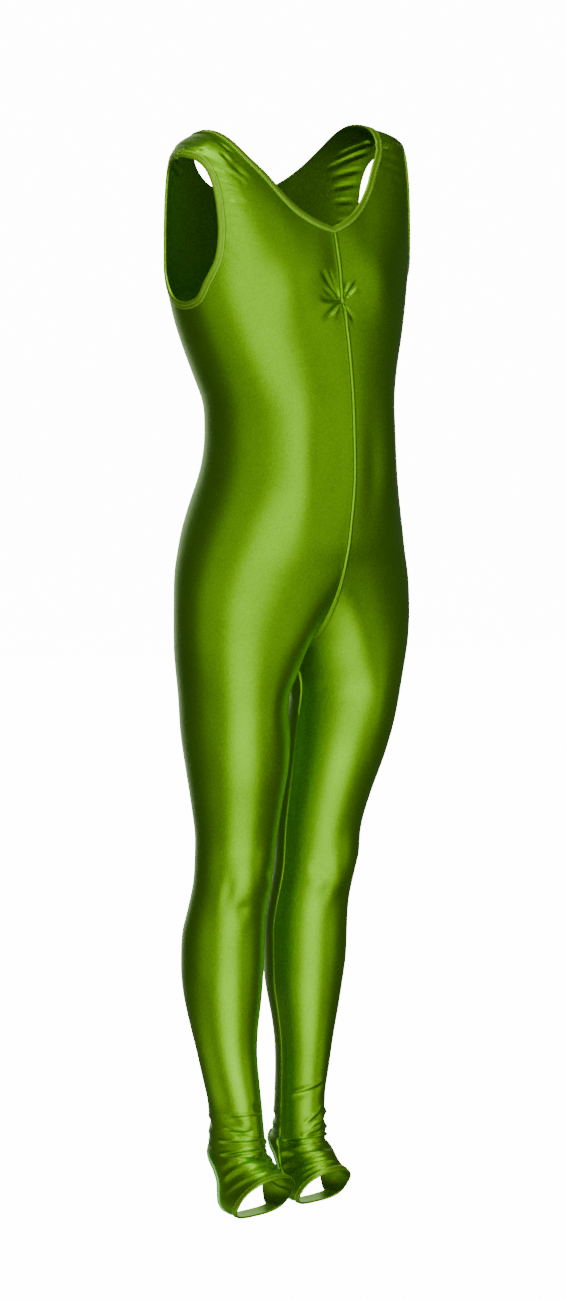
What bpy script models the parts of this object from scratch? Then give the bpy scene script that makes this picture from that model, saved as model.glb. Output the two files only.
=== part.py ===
"""Sleeveless V-neck dance catsuit with stirrup feet, held in the hollow form in which it is worn.

Each half is cut in one, from the centre front round the side to the centre back, with its leg and stirrup.
Heights are measured up from the soles and the origin is midway between the tops of the two shoulder straps.
The figure faces -Y and its left is +X. All sizes are in metres and angles in degrees.
"""

import math

import bmesh
import bpy
import numpy as np
from mathutils import Vector
from mathutils.bvhtree import BVHTree

# Driving sizes
SHOULDER_HEIGHT = 1.065
CHEST_LINE = 0.945
CROTCH_HEIGHT = 0.570
CROTCH_RISE = 0.100
CROTCH_CENTRE = 0.064
ANKLE_HEIGHT = 0.060
FOOT_PIVOT_Y = -0.052
CLOTH = 0.0015
SEAM_GAP = 0.0003
HALF_GAP = SEAM_GAP / 2
WELD_REACH = 0.0006

# Sections of the body and leg: the x of the outer side and of the loop's centre, the half width of its
# inner side, the y of its middle, its depth to the front and back, how square its corners are, and how far
# its inner back and inner front corners stand out
BODY = (
    ("height", "outer", "centre", "inner", "middle", "front", "back", "corner", "inner_back", "inner_front"),
    (0.060, 0.0640, 0.0385, 0.0255, 0.0245, 0.0345, 0.0360, 2.0, -0.0030, 0.0000),
    (0.080, 0.0635, 0.0390, 0.0245, 0.0255, 0.0325, 0.0330, 2.0, -0.0030, 0.0000),
    (0.105, 0.0645, 0.0400, 0.0240, 0.0265, 0.0315, 0.0315, 2.0, -0.0030, 0.0000),
    (0.130, 0.0700, 0.0440, 0.0260, 0.0275, 0.0320, 0.0320, 2.0, -0.0025, 0.0000),
    (0.160, 0.0768, 0.0483, 0.0285, 0.0290, 0.0330, 0.0330, 2.0, -0.0010, 0.0000),
    (0.190, 0.0835, 0.0507, 0.0328, 0.0303, 0.0365, 0.0375, 2.0, 0.0000, 0.0000),
    (0.220, 0.0890, 0.0515, 0.0375, 0.0312, 0.0410, 0.0430, 2.0, 0.0005, 0.0000),
    (0.250, 0.0923, 0.0525, 0.0398, 0.0300, 0.0430, 0.0455, 2.0, 0.0010, 0.0000),
    (0.280, 0.0925, 0.0525, 0.0400, 0.0290, 0.0435, 0.0445, 2.0, 0.0020, 0.0000),
    (0.310, 0.0910, 0.0527, 0.0383, 0.0220, 0.0400, 0.0410, 2.0, 0.0040, 0.0000),
    (0.340, 0.0915, 0.0533, 0.0382, 0.0120, 0.0395, 0.0410, 2.0, 0.0060, 0.0000),
    (0.380, 0.0926, 0.0534, 0.0392, 0.0072, 0.0410, 0.0420, 2.0, 0.0060, 0.0000),
    (0.420, 0.1000, 0.0565, 0.0435, 0.0017, 0.0465, 0.0475, 2.0, 0.0040, 0.0000),
    (0.460, 0.1105, 0.0612, 0.0493, -0.0050, 0.0530, 0.0535, 2.0, 0.0020, 0.0000),
    (0.500, 0.1190, 0.0655, 0.0535, -0.0095, 0.0575, 0.0580, 2.0, 0.0000, -0.0035),
    (0.530, 0.1225, 0.0675, 0.0535, -0.0123, 0.0590, 0.0590, 2.0, 0.0000, -0.0080),
    (0.570, 0.1282, 0.0640, 0.0638, -0.0155, 0.0620, 0.0660, 2.05, 0.0000, 0.0000),
    (0.600, 0.1300, 0.0640, 0.0638, -0.0175, 0.0655, 0.0725, 2.1, 0.0000, 0.0000),
    (0.630, 0.1290, 0.0640, 0.0638, -0.0170, 0.0720, 0.0795, 2.1, 0.0000, 0.0000),
    (0.660, 0.1235, 0.0640, 0.0638, -0.0160, 0.0795, 0.0910, 2.1, 0.0000, 0.0000),
    (0.690, 0.1155, 0.0640, 0.0638, -0.0170, 0.0860, 0.0945, 2.1, 0.0000, 0.0000),
    (0.720, 0.1065, 0.0640, 0.0638, -0.0205, 0.0870, 0.0925, 2.1, 0.0000, 0.0000),
    (0.750, 0.0990, 0.0640, 0.0638, -0.0245, 0.0860, 0.0860, 2.1, 0.0000, 0.0000),
    (0.780, 0.0960, 0.0640, 0.0638, -0.0260, 0.0840, 0.0820, 2.1, 0.0000, 0.0000),
    (0.810, 0.0955, 0.0640, 0.0638, -0.0250, 0.0835, 0.0820, 2.1, 0.0000, 0.0000),
    (0.840, 0.1030, 0.0640, 0.0638, -0.0180, 0.0880, 0.0830, 2.1, 0.0000, 0.0000),
    (0.870, 0.1130, 0.0640, 0.0638, -0.0130, 0.0890, 0.0835, 2.15, 0.0000, 0.0000),
    (0.900, 0.1220, 0.0640, 0.0638, -0.0095, 0.0870, 0.0830, 2.2, 0.0000, 0.0000),
    (0.930, 0.1295, 0.0640, 0.0638, -0.0080, 0.0830, 0.0810, 2.2, 0.0000, 0.0000),
    (0.945, 0.1320, 0.0640, 0.0638, -0.0075, 0.0825, 0.0800, 2.2, 0.0000, 0.0000),
)

# Shoulders, across the body: the ridge's height and y, and how square the profile from the chest line up to
# it is, front and back
SHOULDER = (
    ("across", "ridge_height", "ridge_y", "front_square", "back_square"),
    (0.000, 1.0900, 0.0020, 1.40, 2.0),
    (0.035, 1.0880, 0.0015, 1.48, 2.0),
    (0.065, 1.0830, 0.0005, 1.80, 2.2),
    (0.091, 1.0772, -0.0005, 2.35, 2.5),
    (0.107, 1.0727, -0.0030, 3.00, 2.8),
    (0.125, 1.0640, -0.0075, 4.20, 3.4),
    (0.136, 1.0565, -0.0095, 5.00, 3.8),
)

# Cut edges of the upper body, from the chest line up, as distance across the body and height
FRONT_NECKLINE = (
    ("across", "height"),
    (0.000, 0.9870),
    (0.015, 0.9920),
    (0.035, 1.0040),
    (0.050, 1.0190),
    (0.065, 1.0390),
    (0.080, 1.0570),
    (0.091, 1.0772),
)
BACK_NECKLINE = (
    ("across", "height"),
    (0.000, 1.0100),
    (0.020, 1.0120),
    (0.042, 1.0200),
    (0.062, 1.0340),
    (0.078, 1.0530),
    (0.091, 1.0772),
)
FRONT_ARMHOLE = (
    ("height", "across"),
    (0.9450, 0.1225),
    (0.9600, 0.1184),
    (0.9750, 0.1167),
    (0.9900, 0.1162),
    (1.0040, 0.1167),
    (1.0230, 0.1180),
    (1.0410, 0.1210),
    (1.0520, 0.1265),
    (1.0565, 0.1360),
)
BACK_ARMHOLE = (
    ("height", "across"),
    (0.9450, 0.1215),
    (0.9650, 0.1192),
    (0.9900, 0.1182),
    (1.0150, 0.1190),
    (1.0350, 0.1218),
    (1.0490, 0.1285),
    (1.0565, 0.1360),
)
ARMHOLE_DIP = (0.0, 0.023, 0.028, 0.023, 0.0)
DIP_FADES_AT = 0.870

# The foot's sections fan out about a level line in front of the ankle, tilting from level to the hem
FOOT = (
    ("tilt", "near", "far", "centre", "half_width", "heel_edge"),
    (0, 0.0440, 0.1125, 0.0385, 0.0255, 66.0),
    (5, 0.0355, 0.1135, 0.0387, 0.0265, 30.0),
    (12, 0.0289, 0.1170, 0.0389, 0.0275, 9.0),
    (20, 0.0244, 0.1190, 0.0391, 0.0283, 4.0),
    (28, 0.0215, 0.1140, 0.0394, 0.0290, 9.0),
    (36, 0.0195, 0.1018, 0.0397, 0.0300, 26.0),
    (44, 0.0182, 0.0862, 0.0400, 0.0312, 50.0),
    (54, 0.0172, 0.0740, 0.0404, 0.0322, 54.0),
)
# The left foot's hem lies further back on the instep and a little further in
LEFT_FOOT = (
    ("tilt", "near", "far", "centre", "half_width"),
    (0, 0.0000, 0.0000, 0.0000, 0.0000),
    (20, 0.0040, 0.0000, -0.0012, -0.0010),
    (54, 0.0100, 0.0000, -0.0035, -0.0025),
)
SOLE_SQUARE = 3.4
INSTEP_SQUARE = 2.1

# Rows and columns of the cut panel
FRONT_COLUMNS = (0.0, 0.045, 0.09, 0.14, 0.20, 0.28, 0.38, 0.50, 0.63, 0.76, 0.88, 1.0)
BACK_COLUMNS = (1.0, 0.91, 0.82, 0.73, 0.64, 0.55, 0.46, 0.37, 0.28, 0.19, 0.10, 0.0)
UNDERARM_CELLS = 4
FRONT_ROWS = (3, 9)
BACK_ROWS = (5, 7)
GATHER_ROWS = (0.938, 0.931, 0.924, 0.917, 0.910, 0.903, 0.895, 0.886)
TORSO_ROWS = (*GATHER_ROWS, 0.874, 0.858, 0.838, 0.812, 0.785, 0.757, 0.730, 0.706, 0.685)
CROTCH_TURNS = (90, 75, 60, 45, 30, 15, 0)
LEG_ROWS = (0.550, 0.528, 0.500, 0.465, 0.430, 0.395, 0.365, 0.335, 0.305, 0.275, 0.240, 0.205, 0.170, 0.140)
ANKLE_ROWS = (0.112, 0.090, 0.073)
FOOT_TILTS = (0, 5, 12, 20, 28, 36, 44, 49, 54)
HEEL_COLUMNS = (16, 24)
HEEL_TILTS = (0, 44)
SPREAD_ABOVE = 0.680
EVEN_BELOW = 0.440
ANKLE_FADE = 0.045

# Bust gather: folds radiate from a tack on the centre front seam. Angles turn up from the figure's left
GATHER_HEIGHT = 0.917
GATHER_FOLDS = (
    ("angle", "length", "depth"),
    (33, 0.036, 0.0030),
    (62, 0.026, 0.0018),
    (-52, 0.024, 0.0018),
    (128, 0.036, 0.0030),
    (165, 0.034, 0.0024),
    (206, 0.038, 0.0028),
)
GATHER_DIMPLE = 0.0025
GATHER_DIMPLE_REACH = 0.012
GATHER_FOLD_WIDTH = 0.0055

# Bands and the tack lie on the panels, a seam gap above them
BANDS = (
    ("name", "width", "thickness"),
    ("neck", 0.0075, 0.0011),
    ("armhole", 0.0075, 0.0011),
    ("heel", 0.0038, 0.0010),
    ("hem", 0.0055, 0.0010),
)
LIFT_PASSES = 6
LIFT_REACH = 0.008
LIFT_PARTS = 9
TACK_LENGTH = 0.0070
TACK_WIDTH = 0.0030
TACK_THICKNESS = 0.0012

LAST = len(FRONT_COLUMNS) - 1 + UNDERARM_CELLS + len(BACK_COLUMNS) - 1
FRONT_ARM = len(FRONT_COLUMNS) - 1
BACK_ARM = FRONT_ARM + UNDERARM_CELLS


def read(table, name, at):
    """A column of a table at any value of its first column, on a smooth curve that never overshoots a row."""
    xs = np.array([row[0] for row in table[1:]], float)
    ys = np.array([row[table[0].index(name)] for row in table[1:]], float)
    step = np.diff(xs)
    rise = np.diff(ys) / step
    slope = np.zeros(len(xs))
    slope[0], slope[-1] = rise[0], rise[-1]
    same_way = rise[:-1] * rise[1:] > 0
    both = np.where(same_way, rise[:-1] + rise[1:], 1.0)
    slope[1:-1] = np.where(same_way, 2 * rise[:-1] * rise[1:] / both, 0.0)
    at = np.clip(np.asarray(at, float), xs[0], xs[-1])
    i = np.clip(np.searchsorted(xs, at, side="right") - 1, 0, len(step) - 1)
    t = (at - xs[i]) / step[i]
    start, end = ys[i], ys[i + 1]
    out, into = slope[i] * step[i], slope[i + 1] * step[i]
    return (
        start * (1 + 2 * t) * (1 - t) ** 2
        + out * t * (1 - t) ** 2
        + end * t * t * (3 - 2 * t)
        + into * t * t * (t - 1)
    )


def crotch_share(height):
    """How far the section has split into legs: 0 at the top of the crotch curve, 1 at the crotch."""
    return np.clip(1 - (np.asarray(height, float) - CROTCH_HEIGHT) / CROTCH_RISE, 0, 1)


def body_point(height, turn):
    """A point of the left half. Turn is 0 at the side, -90 at the front and 90 at the back."""
    angle = np.radians(turn)
    corner = 2 / read(BODY, "corner", height)
    centre = np.where(
        np.asarray(height) > CROTCH_HEIGHT,
        CROTCH_CENTRE * crotch_share(height),
        read(BODY, "centre", height),
    )
    across = np.abs(np.cos(angle)) ** corner
    outer = read(BODY, "outer", height) - centre
    x = centre + np.where(np.cos(angle) > 0, outer, -read(BODY, "inner", height)) * across
    depth = np.where(np.sin(angle) < 0, read(BODY, "front", height), read(BODY, "back", height))
    y = read(BODY, "middle", height) + np.sign(np.sin(angle)) * depth * np.abs(np.sin(angle)) ** corner
    back = read(BODY, "inner_back", height) * np.clip(np.sin(angle) - np.cos(angle), 0, None) / 2
    front = read(BODY, "inner_front", height) * np.clip(-np.sin(angle), 0, 1) * np.clip(-np.cos(angle), 0, 1)
    x, y = x - back - front, y + back - front
    return np.stack([np.maximum(x, HALF_GAP), y, np.broadcast_to(height, x.shape)], -1)


def open_turn(height):
    """The turn at which the section meets the centre plane: 90 on the torso, 180 on a leg."""
    share = float(crotch_share(height))
    power = float(read(BODY, "corner", height)) / 2
    return 90.0 + math.degrees(math.asin(share**power))


def foot_size(name, tilt, left):
    """A size of the foot's section, with the left foot's own difference."""
    return read(FOOT, name, tilt) + (read(LEFT_FOOT, name, tilt) if left else 0.0)


def foot_point(tilt, turn, left):
    """A point of the foot's section at a tilt about the pivot line. Turn is -90 at the instep."""
    near, far = foot_size("near", tilt, left), foot_size("far", tilt, left)
    angle = np.radians(turn)
    share = np.clip(np.asarray(tilt, float) / HEEL_TILTS[1], 0, 1)
    square = np.where(np.sin(angle) > 0, 2 + (SOLE_SQUARE - 2) * share, 2 + (INSTEP_SQUARE - 2) * share)
    reach = (near + far) / 2 + (far - near) / 2 * np.sign(np.sin(angle)) * np.abs(np.sin(angle)) ** (2 / square)
    across = np.sign(np.cos(angle)) * np.abs(np.cos(angle)) ** (2 / square)
    x = foot_size("centre", tilt, left) + foot_size("half_width", tilt, left) * across
    slope = math.radians(tilt)
    return np.stack([x, FOOT_PIVOT_Y + reach * math.cos(slope), ANKLE_HEIGHT - reach * math.sin(slope)], -1)


def profile_turn(across, height, square):
    """How far up the quarter profile from chest line to ridge a height lies, from 0 to 90."""
    ridge = read(SHOULDER, "ridge_height", across)
    rise = np.clip((height - CHEST_LINE) / (ridge - CHEST_LINE), 0, 1)
    return np.degrees(np.arcsin(rise ** (read(SHOULDER, square, across) / 2)))


def bodice_point(across, turn, back):
    """A point of the upper body above the chest line, at a distance across and a profile turn."""
    power = 2 / read(SHOULDER, "back_square" if back else "front_square", across)
    side, corner = read(BODY, "outer", CHEST_LINE), read(BODY, "corner", CHEST_LINE)
    depth = read(BODY, "back" if back else "front", CHEST_LINE) * (1 if back else -1)
    level = np.clip(1 - (across / side) ** corner, 0, 1) ** (1 / corner)
    base_y = read(BODY, "middle", CHEST_LINE) + depth * level
    angle = np.radians(turn)
    ridge_y, ridge_height = (read(SHOULDER, name, across) for name in ("ridge_y", "ridge_height"))
    y = ridge_y + (base_y - ridge_y) * np.clip(np.cos(angle), 0, 1) ** power
    height = CHEST_LINE + (ridge_height - CHEST_LINE) * np.sin(angle) ** power
    return np.stack([np.maximum(across, HALF_GAP), y, height], -1)


def cut_edge(table, back, shares):
    """Points along a cut edge as (across, profile turn), at the given shares of its length."""
    square = "back_square" if back else "front_square"
    near_end = 1 - (1 - np.linspace(0, 1, 400)) ** 3
    fine = table[1][0] + (table[-1][0] - table[1][0]) * near_end
    if table[0][0] == "across":
        across, height = fine, read(table, "height", fine)
    else:
        across, height = read(table, "across", fine), fine
    turn = profile_turn(across, height, square)
    turn[-1] = 90.0
    steps = np.diff(bodice_point(across, turn, back), axis=0)
    length = np.concatenate([[0], np.cumsum(np.linalg.norm(steps, axis=1))])
    at = np.array(shares) * length[-1]
    return np.stack([np.interp(at, length, across), np.interp(at, length, turn)], -1)


def bodice_net(shares, back):
    """The rows and columns of the front or back above the chest line, as one blended patch. Each row runs
    from the centre seam, or above it the neckline, to the armhole, and the last one is the shoulder ridge."""
    seam_rows, neck_rows = BACK_ROWS if back else FRONT_ROWS
    neck = cut_edge(BACK_NECKLINE if back else FRONT_NECKLINE, back, np.linspace(0, 1, neck_rows + 1))
    arm = cut_edge(BACK_ARMHOLE if back else FRONT_ARMHOLE, back, np.linspace(0, 1, seam_rows + neck_rows + 1))
    seam = np.stack([np.zeros(seam_rows), np.arange(seam_rows) / seam_rows * neck[0, 1]], -1)
    centre = np.concatenate([seam, neck])
    v = np.linspace(0, 1, len(centre))[:, None]
    u = np.array(shares) * (1 - v) + np.linspace(0, 1, len(shares)) * v
    net = centre[:, None] * (1 - u[..., None]) + arm[:, None] * u[..., None]
    return bodice_point(np.clip(net[..., 0], 0, None), np.clip(net[..., 1], 0, 90), back)


def chest_turns():
    """The turn of each column on the chest line, from the centre front round to the centre back."""
    side, corner = read(BODY, "outer", CHEST_LINE), read(BODY, "corner", CHEST_LINE)
    front = np.array(FRONT_COLUMNS) * FRONT_ARMHOLE[1][1]
    back = np.array(BACK_COLUMNS) * BACK_ARMHOLE[1][1]
    front = -np.degrees(np.arccos((front / side) ** (corner / 2)))
    back = np.degrees(np.arccos((back / side) ** (corner / 2)))
    under = np.linspace(front[-1], back[0], UNDERARM_CELLS + 1)[1:-1]
    return np.concatenate([front, under, back])


def dip():
    """How far the armhole's lower edge hangs below the chest line, for each column."""
    drop = np.zeros(LAST + 1)
    drop[FRONT_ARM : BACK_ARM + 1] = ARMHOLE_DIP
    return drop


def net_rows(left):
    """Every row below the chest line, as points, from the chest to the hem of the foot."""
    shares = (chest_turns() + 90) / 180
    even = np.linspace(0, 1, LAST + 1)
    rows = [body_point(CHEST_LINE - dip(), chest_turns())]
    crotch = [CROTCH_HEIGHT + CROTCH_RISE * (1 - math.cos(math.radians(turn))) for turn in CROTCH_TURNS]
    for height in (*TORSO_ROWS, *crotch, *LEG_ROWS, *ANKLE_ROWS):
        fade = max(0.0, (height - DIP_FADES_AT) / (CHEST_LINE - DIP_FADES_AT))
        mix = min(1.0, max(0.0, (SPREAD_ABOVE - height) / (SPREAD_ABOVE - EVEN_BELOW)))
        mix = mix * mix * (3 - 2 * mix)
        across = 2 * (shares * (1 - mix) + even * mix) - 1
        spread = 90 + 90 * mix
        turns = across * (spread + (open_turn(height) - spread) * np.abs(across) ** 3)
        ankle = min(1.0, max(0.0, 1 - (height - ANKLE_HEIGHT) / ANKLE_FADE))
        turns = turns * (1 - ankle) + foot_turns(0) * ankle
        rows.append(body_point(height - dip() * fade, turns))
    rows += [foot_point(tilt, foot_turns(tilt), left) for tilt in FOOT_TILTS]
    return rows


def foot_turns(tilt):
    """The turn of each column on the foot, so that two of them follow the heel opening's edges."""
    edge = float(read(FOOT, "heel_edge", tilt))
    return np.interp(np.arange(LAST + 1), [0, *HEEL_COLUMNS, LAST], [-180, edge, 180 - edge, 180])


def half(left):
    """Points, triangles and edge loops of a half's outer face, as it lies on the left. Each loop's point
    comes with its neighbour further into the cloth."""
    points, faces = [], []

    def add(row):
        points.extend(row)
        return list(range(len(points) - len(row), len(points)))

    def join(upper, lower, columns):
        for j in columns:
            faces.append((upper[j], lower[j], lower[j + 1]))
            faces.append((upper[j], lower[j + 1], upper[j + 1]))

    rows = net_rows(left)
    crotch_row = len(TORSO_ROWS) + len(CROTCH_TURNS)
    heel_rows = [len(rows) - len(FOOT_TILTS) + FOOT_TILTS.index(tilt) for tilt in HEEL_TILTS]
    ids = []
    for k, row in enumerate(rows):
        ids.append(add(row[:-1]) if k >= crotch_row else add(row))
        if k >= crotch_row:
            ids[-1].append(ids[-1][0])
    for k in range(len(rows) - 1):
        hole = range(*HEEL_COLUMNS) if heel_rows[0] <= k < heel_rows[1] else ()
        join(ids[k], ids[k + 1], [j for j in range(LAST) if j not in hole])

    front, back = bodice_net(FRONT_COLUMNS, False), bodice_net(BACK_COLUMNS[::-1], True)[:, ::-1]
    front_ids = [ids[0][: FRONT_ARM + 1]] + [add(row) for row in front[1:]]
    back_ids = [ids[0][BACK_ARM:]] + [add(row) for row in back[1:-1]] + [front_ids[-1][::-1]]
    for net in (front_ids, back_ids):
        for lower, upper in zip(net, net[1:]):
            join(upper, lower, range(len(lower) - 1))

    above, first, last, below = heel_rows[0] - 1, heel_rows[0], heel_rows[1], heel_rows[1] + 1
    west, east = HEEL_COLUMNS
    edges = {
        "neck": [(row[0], row[1]) for row in front_ids[FRONT_ROWS[0] :]]
        + [(row[-1], row[-2]) for row in back_ids[-2 : BACK_ROWS[0] - 1 : -1]],
        "armhole": [(row[-1], row[-2]) for row in front_ids[:0:-1]]
        + [(ids[0][FRONT_ARM], ids[1][FRONT_ARM - 1])]
        + [(ids[0][j], ids[1][j]) for j in range(FRONT_ARM + 1, BACK_ARM)]
        + [(ids[0][BACK_ARM], ids[1][BACK_ARM + 1])]
        + [(row[0], row[1]) for row in back_ids[1:-1]],
        "heel": [(ids[first][west], ids[above][west - 1])]
        + [(ids[first][j], ids[above][j]) for j in range(west + 1, east)]
        + [(ids[first][east], ids[above][east + 1])]
        + [(ids[k][east], ids[k][east + 1]) for k in range(first + 1, last)]
        + [(ids[last][east], ids[below][east + 1])]
        + [(ids[last][j], ids[below][j]) for j in range(east - 1, west, -1)]
        + [(ids[last][west], ids[below][west - 1])]
        + [(ids[k][west], ids[k][west - 1]) for k in range(last - 1, first, -1)],
        "hem": list(zip(ids[-1][:-1], ids[-2][:-1])),
    }
    return np.array(points), np.array(faces), edges


def face_normals(points, faces):
    """Unnormalised face normals, as long as twice the face's area."""
    a, b, c = (points[faces[:, i]] for i in range(3))
    return np.cross(b - a, c - a)


def welded_normals(points, faces):
    """Smooth normals that count points within the weld reach of each other as one, so seams stay in line."""
    cell = np.round(points / WELD_REACH).astype(int)
    grid = {}
    for i, key in enumerate(map(tuple, cell)):
        grid.setdefault(key, []).append(i)
    owner = np.arange(len(points))
    for i, key in enumerate(map(tuple, cell)):
        for step in np.ndindex(3, 3, 3):
            for j in grid.get(tuple(np.add(key, step) - 1), ()):
                if j < i and np.linalg.norm(points[i] - points[j]) < WELD_REACH:
                    owner[i] = min(owner[i], owner[j])
    total = np.zeros_like(points)
    normal = face_normals(points, faces)
    for corner in range(3):
        np.add.at(total, owner[faces[:, corner]], normal)
    total = total[owner]
    return total / np.maximum(np.linalg.norm(total, axis=1, keepdims=True), 1e-12)


def gather_depth(points):
    """How far the bust gather pushes each point in or out along its normal."""
    x, z = points[:, 0], points[:, 2] - GATHER_HEIGHT
    reach, angle = np.hypot(x, z), np.degrees(np.arctan2(z, x))
    depth = -GATHER_DIMPLE * np.exp(-((reach / GATHER_DIMPLE_REACH) ** 2))
    for fold_angle, length, fold_depth in GATHER_FOLDS[1:]:
        off = (angle - fold_angle + 180) % 360 - 180
        away = reach * np.sin(np.radians(np.clip(off, -90, 90))) / GATHER_FOLD_WIDTH
        along = np.clip(reach / length, 0, 1)
        strength = np.sin(math.pi * along**0.7) * (np.abs(off) < 90)
        depth += fold_depth * strength * (0.6 * np.exp(-((np.abs(away) - 1.6) ** 2)) - np.exp(-(away**2)))
    return np.where(points[:, 1] < 0, depth, 0.0)


def whole_surface():
    """Both halves' outer faces with their folds: points, normals and triangles of each, and the edge loops."""
    points, faces, edges = half(True)
    count = len(points)
    both = np.concatenate([points, half(False)[0] * (-1, 1, 1)])
    all_faces = np.concatenate([faces, faces[:, ::-1] + count])
    normals = welded_normals(both, all_faces)
    both = both + normals * gather_depth(both)[:, None]
    both[:count, 0] = np.maximum(both[:count, 0], HALF_GAP)
    both[count:, 0] = np.minimum(both[count:, 0], -HALF_GAP)
    normals = welded_normals(both, all_faces)
    return both, normals, all_faces, count, edges


def new_object(name, points, faces, material):
    """A mesh object at the origin, its faces turned outward and shaded smooth."""
    mesh = bpy.data.meshes.new(name)
    shifted = np.array(points, float) - (0, 0, SHOULDER_HEIGHT)
    mesh.from_pydata(shifted.tolist(), [], [tuple(int(i) for i in face) for face in faces])
    work = bmesh.new()
    work.from_mesh(mesh)
    bmesh.ops.recalc_face_normals(work, faces=work.faces)
    work.to_mesh(mesh)
    work.free()
    mesh.shade_smooth()
    mesh.set_sharp_from_angle(angle=math.radians(50))
    mesh.materials.append(material)
    item = bpy.data.objects.new(name, mesh)
    bpy.context.scene.collection.objects.link(item)
    return item


def wall(points, normals, faces, low, high):
    """A closed wall between two heights above a sheet of triangles: its points and faces."""
    used, flat = np.unique(faces, return_inverse=True)
    faces = flat.reshape(faces.shape)
    points, normals = points[used], normals[used]
    count = len(points)
    solid = [tuple(face) for face in faces] + [tuple(face[::-1] + count) for face in faces]
    sides = [(face[i], face[(i + 1) % 3]) for face in faces for i in range(3)]
    owned = set(sides)
    solid += [(b, a, a + count, b + count) for a, b in sides if (b, a) not in owned]
    high, low = (np.broadcast_to(height, count)[:, None] for height in (high, low))
    return np.concatenate([points + normals * high, points + normals * low]), solid


def loop_band(points, normals, pairs, width, surface):
    """A band that runs round a closed edge, laid on the panels: points, normals and triangles."""
    edge, edge_normals = points[pairs[:, 0]], normals[pairs[:, 0]]
    inward = np.cross(edge_normals, np.roll(edge, -1, axis=0) - np.roll(edge, 1, axis=0))
    inward *= np.sign((inward * (points[pairs[:, 1]] - edge)).sum())
    inward /= np.linalg.norm(inward, axis=1, keepdims=True)
    lines, line_normals = [edge], [edge_normals]
    for part in (0.5, 1.0):
        spots, ways = [], []
        for spot, way in zip(edge + inward * width * part, edge_normals):
            hit, face_normal, _, _ = surface.ray_cast(Vector(spot + way * LIFT_REACH), Vector(-way), 2 * LIFT_REACH)
            if hit is None:
                hit, face_normal, _, _ = surface.find_nearest(Vector(spot))
            same_side = 1 if face_normal.dot(Vector(way)) > 0 else -1
            spots.append(hit)
            ways.append((Vector(way) + face_normal * same_side).normalized())
        lines.append(np.array(spots))
        line_normals.append(np.array(ways))
    count = len(edge)
    faces = []
    for line in range(len(lines) - 1):
        for i in range(count):
            a, b = line * count + i, line * count + (i + 1) % count
            faces += [(a, b, b + count), (a, b + count, a + count)]
    return np.concatenate(lines), np.concatenate(line_normals), np.array(faces)


def band_size(name, column):
    """A named size of one band."""
    row = next(row for row in BANDS[1:] if row[0] == name)
    return row[BANDS[0].index(column)]


def clearance(points, normals, faces, surface):
    """How far each point of a band's underside is raised so that it lies a seam gap above the panels."""
    lift = np.full(len(points), SEAM_GAP)
    parts = range(LIFT_PARTS + 1)
    spots = [(i, j, LIFT_PARTS - i - j) for i in parts for j in parts if i + j <= LIFT_PARTS]
    spots = np.array(spots) / LIFT_PARTS
    for _ in range(LIFT_PASSES):
        under = points + normals * lift[:, None]
        missing = np.zeros(len(points))
        for face in faces:
            for weights in spots:
                way = Vector(weights @ normals[face]).normalized()
                start = Vector(weights @ under[face]) + way * LIFT_REACH
                hit, _, _, far = surface.ray_cast(start, -way, 2 * LIFT_REACH)
                if hit is not None:
                    missing[face] = np.maximum(missing[face], SEAM_GAP - (far - LIFT_REACH))
        lift += missing
    return lift


def add_band(name, kind, points, normals, pairs, surface, material):
    """One band as its own solid, a seam gap above the panels."""
    sheet = loop_band(points, normals, pairs, band_size(kind, "width"), surface)
    lift = clearance(*sheet, surface)
    return new_object(name, *wall(*sheet, lift, lift + band_size(kind, "thickness")), material)


def tack(surface, material):
    """The bar of stitching on the centre front seam at the gather."""
    grid = []
    for up in np.linspace(-0.5, 0.5, 4) * TACK_LENGTH:
        for across in np.linspace(-0.5, 0.5, 3) * TACK_WIDTH:
            hit = surface.ray_cast(Vector((across, -1, GATHER_HEIGHT + up)), Vector((0, 1, 0)))
            grid.append(hit[0] if hit[0] else Vector((across, grid[-1][1], GATHER_HEIGHT + up)))
    points = np.array(grid)
    points[:, 1] = points[:, 1].min()
    normals = np.tile([0.0, -1.0, 0.0], (len(points), 1))
    corners = [(a, a + 1, a + 4, a + 3) for a in (0, 1, 3, 4, 6, 7)]
    faces = np.array([half for a, b, c, d in corners for half in ((a, b, c), (a, c, d))])
    bar = wall(points, normals, faces, SEAM_GAP, SEAM_GAP + TACK_THICKNESS)
    return new_object("front_gather_tack", *bar, material)


def cloth(name, colour, roughness):
    """A satin stretch cloth."""
    material = bpy.data.materials.new(name)
    material.use_nodes = True
    shader = material.node_tree.nodes["Principled BSDF"]
    shader.inputs["Base Color"].default_value = (*colour, 1)
    shader.inputs["Roughness"].default_value = roughness
    shader.inputs["Metallic"].default_value = 0.0
    return material


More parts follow.
